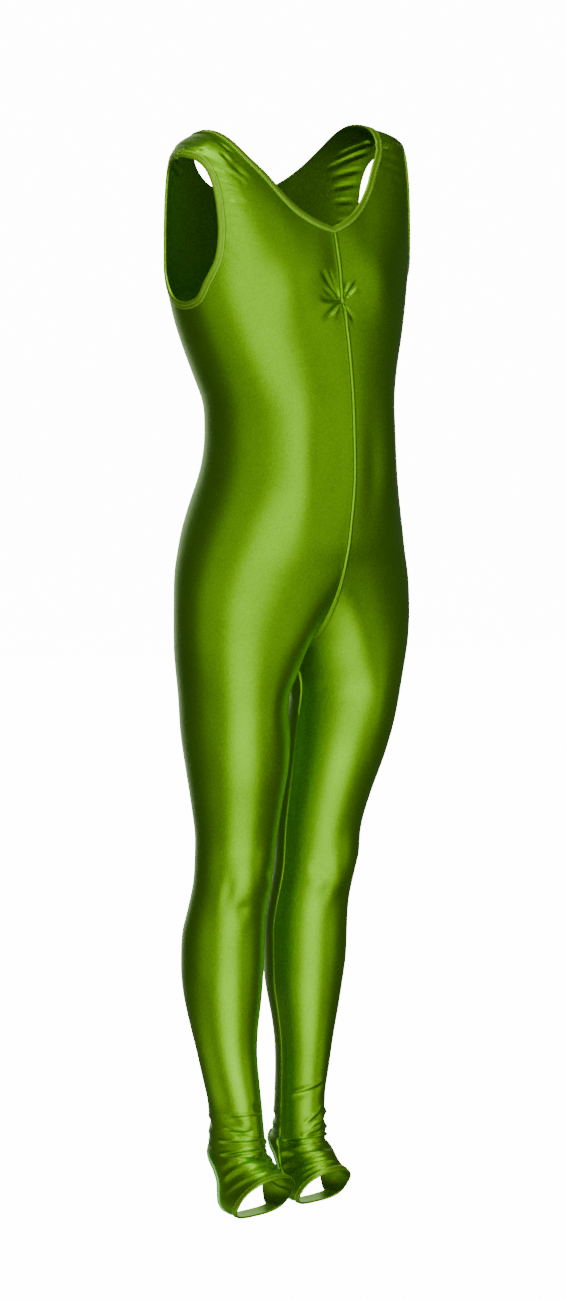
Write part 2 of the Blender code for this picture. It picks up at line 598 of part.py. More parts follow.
def main():
    for item in list(bpy.data.objects):
        bpy.data.objects.remove(item)
    satin = cloth("green_satin_knit", (0.17, 0.40, 0.01), 0.32)
    band = cloth("green_band", (0.15, 0.42, 0.03), 0.45)
    points, normals, faces, count, edges = whole_surface()
    surface = BVHTree.FromPolygons([Vector(p) for p in points], faces.tolist())
    mine = faces.min(axis=1) >= count
    for name, own in (("left_half", ~mine), ("right_half", mine)):
        solid_points, solid_faces = wall(points, normals, faces[own], -CLOTH, 0.0)
        side = 1 if name == "left_half" else -1
        solid_points[:, 0] = side * np.maximum(side * solid_points[:, 0], HALF_GAP)
        new_object(name, solid_points, solid_faces, satin)

    level = points.copy()
    level[np.abs(level[:, 0]) <= HALF_GAP * 1.01, 0] = 0.0
    neck = np.array(edges["neck"])
    ring = np.concatenate([neck, neck[1:-1][::-1] + count])
    add_band("neck_binding", "neck", level, normals, ring, surface, band)
    for side, shift in (("left", 0), ("right", count)):
        for name, kind in (("armhole_binding", "armhole"), ("heel_binding", "heel"), ("instep_hem", "hem")):
            add_band(f"{name}_{side}", kind, points, normals, np.array(edges[kind]) + shift, surface, band)
    tack(surface, band)


main()
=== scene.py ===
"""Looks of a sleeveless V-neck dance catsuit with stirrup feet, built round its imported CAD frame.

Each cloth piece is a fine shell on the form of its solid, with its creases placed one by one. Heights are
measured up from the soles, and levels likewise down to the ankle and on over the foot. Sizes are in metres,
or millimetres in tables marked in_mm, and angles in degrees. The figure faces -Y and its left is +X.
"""

import math
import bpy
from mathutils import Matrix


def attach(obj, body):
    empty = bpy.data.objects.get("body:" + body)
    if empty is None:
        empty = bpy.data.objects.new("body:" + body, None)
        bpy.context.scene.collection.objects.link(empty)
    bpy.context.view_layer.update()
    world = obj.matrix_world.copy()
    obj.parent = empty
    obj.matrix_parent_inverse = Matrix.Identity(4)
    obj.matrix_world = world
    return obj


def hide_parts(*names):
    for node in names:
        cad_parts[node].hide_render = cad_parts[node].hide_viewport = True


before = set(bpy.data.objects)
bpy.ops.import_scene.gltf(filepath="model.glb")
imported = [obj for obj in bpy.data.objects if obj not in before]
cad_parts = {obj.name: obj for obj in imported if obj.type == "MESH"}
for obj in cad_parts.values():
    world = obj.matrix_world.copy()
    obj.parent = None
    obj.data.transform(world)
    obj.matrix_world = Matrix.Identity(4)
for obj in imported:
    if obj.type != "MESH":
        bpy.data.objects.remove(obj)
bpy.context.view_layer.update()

from types import SimpleNamespace

import bpy
import numpy as np
from mathutils import Vector
from mathutils.bvhtree import BVHTree

MM_IN_METRE = 1000


def in_mm(names, *rows):
    """A table, its column names first. Millimetres turn to metres, and starred columns stay as they are. A
    string among the rows holds the values of the first columns for the rows under it."""
    names = names.split()
    table, group = [tuple(name.strip("*") for name in names)], []
    for row in rows:
        if isinstance(row, str):
            group = row.split()
            continue
        pairs = zip(names, (*group, *row))
        table.append(tuple(value if name[-1] == "*" else value / MM_IN_METRE for name, value in pairs))
    return table


# Driving sizes, as in the solids
SHOULDER_HEIGHT = 1.065
CHEST_LINE = 0.945
CROTCH_HEIGHT = 0.57
CROTCH_RISE = 0.1
CROTCH_CENTRE = 0.064
ANKLE_HEIGHT = 0.06
FOOT_PIVOT_Y = -0.052
CLOTH = 0.0011
ANKLE_FADE = 0.045
FAR = 9.0
HALF_GAP = 0.00015
BAND_GAP = 0.0002

# Sections of the body and leg: the x of the outer side and of the loop's centre, the half width of its
# inner side, the y of its middle, its depth to the front and back, how square its corners are, and how far
# its inner back and inner front corners stand out
BODY = in_mm(
    "height outer centre inner middle front back corner* inner_back inner_front",
    (60, 64, 38.5, 25.5, 24.5, 34.5, 36, 2, -3, 0),
    (80, 63.5, 39, 24.5, 25.5, 32.5, 33, 2, -3, 0),
    (105, 64.5, 40, 24, 26.5, 31.5, 31.5, 2, -3, 0),
    (130, 70, 44, 26, 27.5, 32, 32, 2, -2.5, 0),
    (160, 76.8, 48.3, 28.5, 29, 33, 33, 2, -1, 0),
    (190, 83.5, 50.7, 32.8, 30.3, 36.5, 37.5, 2, 0, 0),
    (220, 89, 51.5, 37.5, 31.2, 41, 43, 2, 0.5, 0),
    (250, 92.3, 52.5, 39.8, 30, 43, 45.5, 2, 1, 0),
    (280, 92.5, 52.5, 40, 29, 43.5, 44.5, 2, 2, 0),
    (310, 91, 52.7, 38.3, 22, 40, 41, 2, 4, 0),
    (340, 91.5, 53.3, 38.2, 12, 39.5, 41, 2, 6, 0),
    (380, 92.6, 53.4, 39.2, 7.2, 41, 42, 2, 6, 0),
    (420, 100, 56.5, 43.5, 1.7, 46.5, 47.5, 2, 4, 0),
    (460, 110.5, 61.2, 49.3, -5, 53, 53.5, 2, 2, 0),
    (500, 119, 65.5, 53.5, -9.5, 57.5, 58, 2, 0, -3.5),
    (530, 122.5, 67.5, 53.5, -12.3, 59, 59, 2, 0, -8),
    (570, 128.2, 64, 63.8, -15.5, 62, 66, 2.05, 0, 0),
    (600, 130, 64, 63.8, -17.5, 65.5, 72.5, 2.1, 0, 0),
    (630, 129, 64, 63.8, -17, 72, 79.5, 2.1, 0, 0),
    (660, 123.5, 64, 63.8, -16, 79.5, 91, 2.1, 0, 0),
    (690, 115.5, 64, 63.8, -17, 86, 94.5, 2.1, 0, 0),
    (720, 106.5, 64, 63.8, -20.5, 87, 92.5, 2.1, 0, 0),
    (750, 99, 64, 63.8, -24.5, 86, 86, 2.1, 0, 0),
    (780, 96, 64, 63.8, -26, 84, 82, 2.1, 0, 0),
    (810, 95.5, 64, 63.8, -25, 83.5, 82, 2.1, 0, 0),
    (840, 103, 64, 63.8, -18, 88, 83, 2.1, 0, 0),
    (870, 113, 64, 63.8, -13, 89, 83.5, 2.15, 0, 0),
    (900, 122, 64, 63.8, -9.5, 87, 83, 2.2, 0, 0),
    (930, 129.5, 64, 63.8, -8, 83, 81, 2.2, 0, 0),
    (945, 132, 64, 63.8, -7.5, 82.5, 80, 2.2, 0, 0),
)

# Shoulders, across the body: the ridge's height and y, and how square the profile from the chest line up to
# it is, front and back
SHOULDER = in_mm(
    "across ridge_height ridge_y front_square* back_square*",
    (0, 1090, 2, 1.4, 2),
    (35, 1088, 1.5, 1.48, 2),
    (65, 1083, 0.5, 1.8, 2.2),
    (91, 1077.2, -0.5, 2.35, 2.5),
    (107, 1072.7, -3, 3, 2.8),
    (125, 1064, -7.5, 4.2, 3.4),
    (136, 1056.5, -9.5, 5, 3.8),
)

# Cut edges of the upper body, from the chest line up. Here and below, the front comes first and the back next
FACES = ("front", "back")
NECKLINES = (
    in_mm(
        "across height",
        (0, 987), (15, 992), (35, 1004), (50, 1019), (65, 1039), (80, 1057), (91, 1077.2),
    ),
    in_mm(
        "across height",
        (0, 1010), (20, 1012), (42, 1020), (62, 1034), (78, 1053), (91, 1077.2),
    ),
)
ARMHOLES = (
    in_mm(
        "height across",
        (945, 122.5), (960, 118.4), (975, 116.7), (990, 116.2), (1004, 116.7), (1023, 118), (1041, 121),
        (1052, 126.5), (1056.5, 136),
    ),
    in_mm(
        "height across",
        (945, 121.5), (965, 119.2), (990, 118.2), (1015, 119), (1035, 121.8), (1049, 128.5), (1056.5, 136),
    ),
)
# How far the armhole hangs below the chest line, from its front round to its back
ARMHOLE_DIP = (0.0, 0.023, 0.028, 0.023, 0.0)
DIP_FADES_AT = 0.87

# The foot's sections fan out about a level line in front of the ankle, tilting from level to the hem
FOOT = in_mm(
    "tilt* near far centre half_width heel_edge*",
    (0, 44, 112.5, 38.5, 25.5, 66),
    (5, 35.5, 113.5, 38.7, 26.5, 30),
    (12, 28.9, 117, 38.9, 27.5, 9),
    (20, 24.4, 119, 39.1, 28.3, 4),
    (28, 21.5, 114, 39.4, 29, 9),
    (36, 19.5, 101.8, 39.7, 30, 26),
    (44, 18.2, 86.2, 40, 31.2, 50),
    (54, 17.2, 74, 40.4, 32.2, 54),
)
# The left foot's hem lies further back on the instep and a little further in
LEFT_FOOT = in_mm(
    "tilt* near far centre half_width",
    (0, 0, 0, 0, 0),
    (20, 4, 0, -1.2, -1),
    (54, 10, 0, -3.5, -2.5),
)
SOLE_SQUARE = 3.4
INSTEP_SQUARE = 2.1

# Rows and columns of the cut panel. Columns are first spaced as in the solids, then each interval is cut
# into cells. Rows go down from one height to another at a step, and round the crotch from one turn to another
COLUMNS = (
    (0.0, 0.045, 0.09, 0.14, 0.2, 0.28, 0.38, 0.5, 0.63, 0.76, 0.88, 1.0),
    (0.0, 0.1, 0.19, 0.28, 0.37, 0.46, 0.55, 0.64, 0.73, 0.82, 0.91, 1.0),
)
UNDERARM_CELLS = 4
COARSE_CELLS = 2 * (len(COLUMNS[0]) - 1) + UNDERARM_CELLS
SEAM_CELLS = (0.0, 0.08, 0.17, 0.28, 0.42, 0.6, 0.8)
CELLS = (7, 6, 5, 5, 5, 4, 4, 4, 4, 4)
UNDERARM_SPLIT = 4
BODICE_ROWS = ((15, 42), (24, 33))
GATHER_ROWS = (0.943, 0.885, 0.0017)
TORSO_ROWS = (0.881, 0.674, 0.005)
CROTCH_TURNS = (90, 0, 3)
LEG_ROWS = (0.566, 0.143, 0.005)
ANKLE_ROWS = (0.1395, 0.0612, 0.0009)
FOOT_TILTS = 44
HEEL_COLUMNS = (16, 24)
HEEL_TILT = 44
HEM_TILT = 54
SPREAD_ABOVE = 0.68
EVEN_BELOW = 0.44
LEVEL_PER_TILT = 0.00052

# Creases on the legs: turn of the middle, half reach round the leg, level of the middle, how far the crease
# rises over that half reach, its width and depth. Turn is 0 at the outer side, -90 at the front and 180 at
# the inner seam
LEG_FOLDS = in_mm(
    "side* turn* reach* level rise width depth",
    "both",
    (92, 50, 352, 4, 5.5, 1.3),
    (84, 42, 332, -3, 5.2, 1.2),
    (98, 36, 370, -4, 5, 0.8),
    (-150, 28, 535, 12, 7, 0.4),
    (140, 36, 542, -12, 6, 1.4),
    (128, 40, 525, -10, 6.5, 1.1),
    "right",
    (-128, 26, 348, 8, 7, 1.4),
    "left",
    (-118, 26, 340, -7, 7, 1.1),
)

# Thin ridges round the ankles and insteps, with a trough under each: the turn and level of its start, middle
# and end, its width and height
ANKLE_RIDGES = in_mm(
    "side* start* start_level middle* middle_level end* end_level width height",
    "right",
    (-130, 104, -80, 104.5, -25, 103, 1.5, 0.9),
    (-82, 90.5, -50, 88.5, -20, 90, 1.8, 1.6),
    (-118, 78, -60, 78.2, -5, 74.2, 1.4, 1.9),
    (-168, 71.5, -130, 70, -95, 70.5, 1.3, 1.7),
    (-168, 66.8, -130, 66, -98, 66.2, 1.2, 1.6),
    (-168, 61.8, -130, 60.5, -100, 61.2, 1.2, 1.6),
    (-160, 57, -125, 56.6, -92, 56, 1.2, 1.6),
    (-150, 51.5, -118, 51.7, -85, 51, 1.2, 1.4),
    (-105, 68.5, -55, 68, -5, 59.6, 1.4, 2),
    (-115, 62.8, -54, 61.2, -5, 55.2, 1.2, 2),
    (-95, 59.2, -55, 56.8, -5, 49.5, 1.3, 2.2),
    (-85, 49, -40, 46.2, 0, 43.8, 1.3, 1.4),
    (20, 96, 66, 91.5, 112, 95, 2.8, 0.5),
    (64, 85, 110, 88.5, 160, 84.5, 2.8, 0.5),
    (55, 110, 98, 106.5, 142, 109.2, 2.6, 0.3),
    "left",
    (-150, 112.5, -115, 118, -74, 124, 2.2, 1.6),
    (-122, 82.5, -95, 90.5, -66, 99, 2.2, 1.6),
    (-122, 77.5, -85, 82.2, -45, 88, 2.1, 1.5),
    (-130, 70, -92, 75.2, -55, 81.2, 2.2, 1.7),
    (-176, 60.5, -138, 66, -35, 63.5, 1.4, 2),
    (-176, 55.5, -126, 59, -45, 58.5, 1.2, 2.2),
    (-178, 49, -140, 54, -80, 55, 1.2, 2.2),
    (-178, 44.5, -142, 45.8, -60, 43, 1.2, 1.7),
    (-165, 40.5, -140, 41.8, -112, 42.5, 1.2, 1.4),
    (-66, 90.5, -30, 86, 14, 80, 2.8, 2),
    (-60, 73.5, -25, 70, 12, 65.5, 2.2, 2),
    (-55, 65.5, -25, 62.5, 8, 59, 2, 1.8),
    (14, 94, 60, 96.5, 108, 92, 2.8, 0.5),
    (72, 87, 118, 84, 165, 88, 2.8, 0.5),
    (32, 107.5, 76, 111.2, 122, 107, 2.6, 0.3),
    "both",
    (18, 79.5, 70, 75.8, 126, 80, 2.6, 0.6),
    (98, 74.2, 140, 72.2, 176, 76, 2.5, 0.5),
    (12, 69.5, 55, 67, 100, 70, 2.5, 0.5),
    (128, 66, 155, 64.5, 178, 66, 2.2, 0.5),
    (150, 101, 168, 97.5, 178, 95, 2.6, 0.4),
)

# Soft hollows of the ankles and knees, and mounds where the depth is negative: turn and level of the middle,
# how far each way it spreads, and its depth
LEG_HOLLOWS = in_mm(
    "side* turn* level turn_reach* level_reach depth",
    "right",
    (-42, 96.2, 18, 4.2, 2.6),
    (-50, 83.6, 20, 3.2, 2.4),
    (-102, 109.5, 14, 5, 1.5),
    (-58, 378, 22, 8, 0.7),
    "left",
    (-155, 59.8, 20, 2.6, 3),
    (-159, 52.8, 18, 2.2, 3),
    (-157, 47.5, 18, 2.2, 2.7),
    (-99, 70, 14, 3, 2),
    (-60, 94, 14, 3.6, 1.9),
    (-44, 356, 24, 14, -1.2),
    (-124, 350, 16, 12, 1.2),
    (-112, 324, 12, 11, 1.2),
    "both",
    (40, 87, 18, 3.6, 1.9),
    (130, 79, 18, 3.4, 1.9),
    (-80, 354, 26, 22, -2.2),
    (-72, 318, 13, 8, 1.7),
    (-46, 336, 10, 18, 1.3),
)

# Broad soft forms of the body under the cloth: where each is across the front or back and in height, how far
# it spreads, and how far it lifts the cloth
SWELLS = in_mm(
    "face* across height across_reach height_reach lift",
    "front",
    (52, 930, 24, 30, 4.2),
    (0, 955, 18, 32, -3.2),
    (53, 775, 19, 65, 2.8),
    (26, 755, 12, 45, -1.2),
    (0, 590, 30, 45, -4),
    "back",
    (62, 975, 30, 45, 1.6),
    (0, 900, 20, 160, -2.4),
    (0, 650, 14, 50, -3),
)

# Creases above the chest line, from one point to another: distance across and height of each end
STRAP_FOLDS = in_mm(
    "side* face* across height end_across end_height width depth",
    "right front",
    (120.5, 1066, 103, 1054.5, 2, 2.1),
    (124, 1061.5, 92.5, 1040.5, 2.2, 2.6),
    (110, 1070.5, 97.5, 1061, 1.9, 1.6),
    (116.5, 1047, 96, 1036, 2.1, 2.2),
    (114.5, 1038.5, 101, 1031.5, 1.8, 1.6),
    (112, 1026, 100, 1022.5, 1.8, 1.6),
    (111.5, 1017.5, 97.5, 1014.5, 1.9, 1.8),
    (111, 1005.5, 101.5, 1003.5, 1.8, 1.3),
    (111, 994.5, 101, 994.5, 1.8, 1.3),
    (111, 980.5, 102.5, 979.5, 1.8, 1.3),
    (112, 965.5, 104, 962, 1.8, 1.1),
    "left front",
    (92, 1066.5, 115.5, 1060.5, 2, 2.1),
    (83, 1060.5, 110, 1052, 2.2, 2.6),
    (80, 1051, 106, 1041.5, 2.2, 2.2),
    (80, 1041.5, 106, 1029.5, 2, 1.9),
    (90, 1025.5, 109, 1018, 1.9, 1.6),
    (91, 1013, 110, 1007, 1.9, 1.4),
    (95, 996, 110, 992, 1.8, 1.3),
    "both back",
    (122, 1060, 100, 1048, 2.1, 1.5),
    (118, 1048, 93, 1036, 2.1, 1.4),
    (116, 1033, 99, 1026, 2, 1.1),
    (115, 1018, 101, 1014, 1.9, 1),
    (114, 1002, 103, 1000, 1.8, 0.9),
    (115, 982, 105, 980, 1.8, 0.8),
)

# Bust gather round the tack: valleys, and the soft ridges between them. Angles turn up from the figure's left
GATHER_HEIGHT = 0.917
GATHER_FOLDS = in_mm(
    "angle* length width depth",
    (39, 30, 2.6, 2.7),
    (63, 24, 2, 1.4),
    (12, 18, 1.6, 0.6),
    (-60, 22, 1.8, 1.7),
    (-30, 14, 1.5, 0.5),
    (114, 36, 1.7, 1.1),
    (128, 40, 2.7, 2.4),
    (151, 26, 2, 1.9),
    (170, 29, 2.2, 2.7),
    (211, 33, 1.9, 2.7),
    (234, 20, 1.6, 0.6),
    (51, 28, 2.2, -1.5),
    (22, 24, 2.2, -1.4),
    (141, 28, 2, -1.1),
    (187, 30, 3, -1.5),
    (226, 30, 3.4, -0.9),
    (-76, 26, 2.4, -0.8),
)
GATHER_DIMPLE = 0.0008
GATHER_DIMPLE_REACH = 0.011

# Relief of the seams: the ridge beside its seam on the left half and on the right, and the groove on the seam
SEAM_RIDGES = (0.0006, 0.0003)
SEAM_RIDGE_OFF = 0.0016
SEAM_RIDGE_WIDTH = 0.0009
SEAM_GROOVE = 0.0006
SEAM_GROOVE_WIDTH = 0.0006

# How ridges and hollows weaken where the foot's sections crowd together behind, how sharply a ridge ends, and
# the depth, distance and width of the trough under it as shares of the ridge's own
FAN_REACH = 0.06
FAN_LEAST = 0.3
RIDGE_FADE = 1.15
TROUGH_SHARE = 0.75
TROUGH_OFF = 2.4
TROUGH_WIDTH = 1.6

# Sections of creases: the low ridges above and below the trough as shares of its depth, how far off they lie
# and how wide they are. Then how creases fade, widen and sag along their length
LEG_SIDES = (0.3, 0.45)
STRAP_SIDES = (0.12, 0.25)
SIDE_OFF = 1.9
SIDE_WIDTH = 0.9
FADE_POWER = 1.3
STRAP_OVERRUN = 0.3
STRAP_FADE_AT = 0.75
LEG_FOLD_WIDTHS = (0.85, 0.15)
LEG_FOLD_SAG = -0.0015
GATHER_WIDTHS = (0.45, 0.75)
GATHER_SKEW = 0.65

# How the net is smoothed, the body's table averaged and the rows near the crotch blended, and how finely cut
# edges are measured
SMOOTHING_STEPS = 60
SMOOTH_IN = 0.6
SMOOTH_OUT = -0.61
READ_WINDOW = 0.014
READ_STEPS = 9
READ_PEAK = 1.001
BLEND_HEIGHT = 0.06
BLEND_REACH = 0.016
BLEND_SEAM_REACH = 0.015
BLEND_STRENGTH = 1.6
EDGE_STEPS = 400

# Edge bands: width, thickness, how far in from the edge each stitch of a row starts and ends, stitch pitch,
# and the width to which the strip is cut
BANDS = (
    ("name", "width", "thickness", "stitch_rows", "pitch", "cut_width"),
    ("neck", 0.0066, 0.001, ((0.0036, 0.006),), 0.0018, 0.009),
    ("armhole", 0.007, 0.001, ((0.003, 0.003), (0.0062, 0.0062)), 0.0024, 0.0095),
    ("heel", 0.0038, 0.0009, ((0.0024, 0.0024),), 0.0022, 0.006),
    ("hem", 0.0055, 0.0009, ((0.004, 0.0046),), 0.0022, 0.008),
)
# The roll's outline, as shares of the band's width in from the edge and heights in thicknesses
BAND_PROFILE = (
    ("share", "height"),
    (-0.08, -0.6), (-0.1, 0.2), (-0.04, 0.9), (0.1, 1.25), (0.3, 1.1),
    (0.62, 1.05), (0.86, 1.15), (0.97, 0.8), (1.0, 0.0),
)
BAND_UNDERSIDE = (0.66, 0.33, 0.02)
# How many times a band's normals, its ways inward and the cloth's normals under it are softened
NORMAL_PASSES = 3
INWARD_PASSES = 4
WAY_PASSES = 2

# Stitches and threads: a stitch fills part of its pitch, and its height is in thicknesses of the band
STITCH_WIDTH = 0.00055
STITCH_FILL = 0.72
STITCH_HEIGHT = 1.12
RAY_REACH = 0.01
THREAD_FLATNESS = 0.7
THREAD_SIDES = 6
# Rings of a thread: the share of its length, and its size there
THREAD_RINGS = ((0.0, 0.35), (0.15, 0.9), (0.5, 1.0), (0.85, 0.9), (1.0, 0.35))
# Bars of the tack at the bust: height over the gather's middle, and how far each end leans
TACK_BARS = (
    ("place", "lean"),
    (-0.0016, 0.0003), (-0.0008, -0.0002), (0.0, 0.0004), (0.0009, -0.0003), (0.0017, 0.0002),
)
TACK_HALF_WIDTH = 0.0009
TACK_LIFT = 0.0002
TACK_THREAD = 0.0008
NODE_NAMES = {
    "neck": "neck_binding",
    "armhole": "armhole_binding",
    "heel": "heel_binding",
    "hem": "instep_hem",
}

# Looks of the cloths
LOOKS = (
    ("name", "dark", "light", "roughness", "metallic", "sheen", "cloud", "grain", "bump"),
    ("satin", (0.119, 0.325, 0.002), (0.219, 0.555, 0.006), 0.41, 1.0, 0.0, 9.0, 700.0, 0.55),
    ("band", (0.15, 0.37, 0.004), (0.2, 0.46, 0.008), 0.44, 0.8, 0.05, 30.0, 1800.0, 0.35),
    ("heel_band", (0.17, 0.52, 0.11), (0.22, 0.6, 0.14), 0.5, 0.0, 0.1, 30.0, 1800.0, 0.35),
    ("thread", (0.26, 0.52, 0.03), (0.34, 0.64, 0.05), 0.45, 0.1, 0.1, 60.0, 2500.0, 0.2),
)
GLITTER_SHARE = 0.6
RAMP_STOPS = (("dark", 0.3), ("light", 0.7))
SHEEN_ROUGHNESS = 0.4
CLOUD_DETAIL = (3.0, 0.6)
GRAIN_DETAIL = (2.0, 0.7)
GRAIN_DEPTH = 0.0002
SMOOTH_ANGLE = 60

# Softboxes: azimuth round the figure, 0 in front of it and 90 on its left, and heights over the shoulders
LIGHTS = (
    ("name", "azimuth", "distance", "level", "aim", "width", "height", "watts"),
    ("key", -31, 3.2, -0.7, -0.5, 2.8, 4.4, 78.0),
    ("key_left", -90, 3.2, -0.45, -0.45, 2.2, 3.6, 13.0),
    ("key_right", 28, 3.2, -0.45, -0.45, 1.6, 3.6, 16.0),
    ("floor_bounce", -30, 1.5, -2.1, -0.55, 2.0, 1.4, 17.0),
    ("floor_left", -125, 0.55, -1.5, -1.03, 0.5, 0.5, 0.8),
    ("behind", 152, 3.2, -0.3, -0.45, 3.2, 3.2, 40.0),
    ("overhead", -32, 1.5, 2.3, -0.5, 2.6, 2.2, 60.0),
    ("top", -110, 0.9, 2.2, 0.0, 1.8, 1.8, 22.0),
)
LIGHT_COLOUR = (1.0, 0.99, 0.97)
WORLD_COLOUR = (0.9, 0.95, 1.0)
WORLD_STRENGTH = 0.09
STAGE_COLOUR = (0.9, 0.9, 0.9)
STAGE_ROUGHNESS = 0.9
STAGE_SPECULAR = 0.1
BACKDROP_GLOW = 16.0
FLOOR_DROP = 0.004
FLOOR_RADIUS = 8.0
BACKDROP_RADIUS = 11.0

CAMERA_PLACE = (-2.4319, -3.1127, 0.185)
CAMERA_PITCH = 9.8
CAMERA_AZIMUTH = -38
CAMERA_LENS = 112.9
CAMERA_SENSOR = 36


def read(table, name, at):
    """A column of a table at any value of its first column, on a smooth curve that never overshoots a row."""
    xs = np.array([row[0] for row in table[1:]], float)
    ys = np.array([row[table[0].index(name)] for row in table[1:]], float)
    step = np.diff(xs)
    rise = np.diff(ys) / step
    slope = np.zeros(len(xs))
    slope[0], slope[-1] = rise[0], rise[-1]
    same_way = rise[:-1] * rise[1:] > 0
    both = np.where(same_way, rise[:-1] + rise[1:], 1.0)
    slope[1:-1] = np.where(same_way, 2 * rise[:-1] * rise[1:] / both, 0.0)
    at = np.clip(np.asarray(at, float), xs[0], xs[-1])
    i = np.clip(np.searchsorted(xs, at, side="right") - 1, 0, len(step) - 1)
    t = (at - xs[i]) / step[i]
    start, end = ys[i], ys[i + 1]
    out, into = slope[i] * step[i], slope[i + 1] * step[i]
    return (
        start * (1 + 2 * t) * (1 - t) ** 2
        + out * t * (1 - t) ** 2
        + end * t * t * (3 - 2 * t)
        + into * t * t * (t - 1)
    )


def body(name, height):
    """A size of the body's section, averaged over a short window of heights so that no table row shows."""
    spread = np.linspace(-1, 1, READ_STEPS)
    weights = READ_PEAK - np.abs(spread)
    heights = [np.asarray(height, float) + off for off in spread * READ_WINDOW]
    values = [read(BODY, name, at) * weight for at, weight in zip(heights, weights)]
    return sum(values) / weights.sum()


def crotch_share(height):
    """How far the section has split into legs: 0 at the top of the crotch curve, 1 at the crotch."""
    return np.clip(1 - (np.asarray(height, float) - CROTCH_HEIGHT) / CROTCH_RISE, 0, 1)


def powered(value, power):
    """The value's size raised to a power, with its sign kept."""
    return np.sign(value) * np.abs(value) ** power


def body_point(height, turn):
    """A point of the left half. Turn is 0 at the side, -90 at the front and 90 at the back."""
    sin, cos = np.sin(np.radians(turn)), np.cos(np.radians(turn))
    corner = 2 / body("corner", height)
    above = np.asarray(height) > CROTCH_HEIGHT
    centre = np.where(above, CROTCH_CENTRE * crotch_share(height), body("centre", height))
    inner = np.where(above, read(BODY, "inner", height), body("inner", height))
    outer = body("outer", height) - centre
    x = centre + np.where(cos > 0, outer, -inner) * np.abs(cos) ** corner
    depth = np.where(sin < 0, body("front", height), body("back", height))
    y = body("middle", height) + depth * powered(sin, corner)
    back = body("inner_back", height) * np.clip(sin - cos, 0, None) / 2
    front = body("inner_front", height) * np.clip(-sin, 0, 1) * np.clip(-cos, 0, 1)
    x, y = x - back - front, y + back - front
    return np.stack([np.maximum(x, HALF_GAP), y, np.broadcast_to(height, x.shape)], -1)


def open_turn(height):
    """The turn at which the section meets the centre plane: 90 on the torso, 180 on a leg."""
    power = float(read(BODY, "corner", height)) / 2
    return 90.0 + math.degrees(math.asin(float(crotch_share(height)) ** power))


def foot_point(tilt, turn, left):
    """A point of the foot's section at a tilt about the pivot line. Turn is -90 at the instep."""
    near, far, centre, half_width = (
        read(FOOT, name, tilt) + (read(LEFT_FOOT, name, tilt) if left else 0.0) for name in FOOT[0][1:5]
    )
    sin, cos = np.sin(np.radians(turn)), np.cos(np.radians(turn))
    square = 2 + (np.where(sin > 0, SOLE_SQUARE, INSTEP_SQUARE) - 2) * min(1.0, tilt / HEEL_TILT)
    reach = (near + far) / 2 + (far - near) / 2 * powered(sin, 2 / square)
    x = centre + half_width * powered(cos, 2 / square)
    slope = math.radians(tilt)
    return np.stack([x, FOOT_PIVOT_Y + reach * math.cos(slope), ANKLE_HEIGHT - reach * math.sin(slope)], -1)


def run(points):
    """How far along a line each of its points lies."""
    return np.concatenate([[0], np.cumsum(np.linalg.norm(np.diff(points, axis=0), axis=1))])


def from_ends(row):
    """How far each point of a row lies from the nearer end of the row."""
    return np.minimum(run(row), run(row[::-1])[::-1])


def profile_turn(across, height, square):
    """How far up the quarter profile from chest line to ridge a height lies, from 0 to 90."""
    ridge = read(SHOULDER, "ridge_height", across)
    rise = np.clip((height - CHEST_LINE) / (ridge - CHEST_LINE), 0, 1)
    return np.degrees(np.arcsin(rise ** (read(SHOULDER, square, across) / 2)))


def bodice_point(across, turn, back):
    """A point of the upper body above the chest line, at a distance across and a profile turn."""
    power = 2 / read(SHOULDER, FACES[back] + "_square", across)
    side, corner = body("outer", CHEST_LINE), body("corner", CHEST_LINE)
    depth = body(FACES[back], CHEST_LINE) * (1 if back else -1)
    level = np.clip(1 - (across / side) ** corner, 0, 1) ** (1 / corner)
    base_y = body("middle", CHEST_LINE) + depth * level
    angle = np.radians(turn)
    ridge_y, ridge_height = (read(SHOULDER, name, across) for name in ("ridge_y", "ridge_height"))
    y = ridge_y + (base_y - ridge_y) * np.clip(np.cos(angle), 0, 1) ** power
    height = CHEST_LINE + (ridge_height - CHEST_LINE) * np.sin(angle) ** power
    return np.stack([np.maximum(across, HALF_GAP), y, height], -1)


def cut_edge(table, back, shares):
    """Points along a cut edge as (across, profile turn), at the given shares of its length."""
    crowded = 1 - (1 - np.linspace(0, 1, EDGE_STEPS)) ** 3
    spots = table[1][0] + (table[-1][0] - table[1][0]) * crowded
    if table[0][0] == "across":
        across, height = spots, read(table, "height", spots)
    else:
        across, height = read(table, "across", spots), spots
    turn = profile_turn(across, height, FACES[back] + "_square")
    turn[-1] = 90.0
    length = run(bodice_point(across, turn, back))
    at = np.array(shares) * length[-1]
    return np.stack([np.interp(at, length, across), np.interp(at, length, turn)], -1)


def bodice_net(shares, back):
    """The rows and columns of the front or back above the chest line, as one blended patch. Each row runs
    from the centre seam, or above it the neckline, to the armhole, and the last one is the shoulder ridge."""
    seam_rows, neck_rows = BODICE_ROWS[back]
    neck = cut_edge(NECKLINES[back], back, np.linspace(0, 1, neck_rows + 1))
    arm = cut_edge(ARMHOLES[back], back, np.linspace(0, 1, seam_rows + neck_rows + 1))
    seam = np.stack([np.zeros(seam_rows), np.arange(seam_rows) / seam_rows * neck[0, 1]], -1)
    centre = np.concatenate([seam, neck])
    v = np.linspace(0, 1, len(centre))[:, None]
    u = shares * (1 - v) + fine(np.linspace(0, 1, len(COLUMNS[0]))) * v
    net = centre[:, None] * (1 - u[..., None]) + arm[:, None] * u[..., None]
    return bodice_point(np.clip(net[..., 0], 0, None), np.clip(net[..., 1], 0, 90), back)


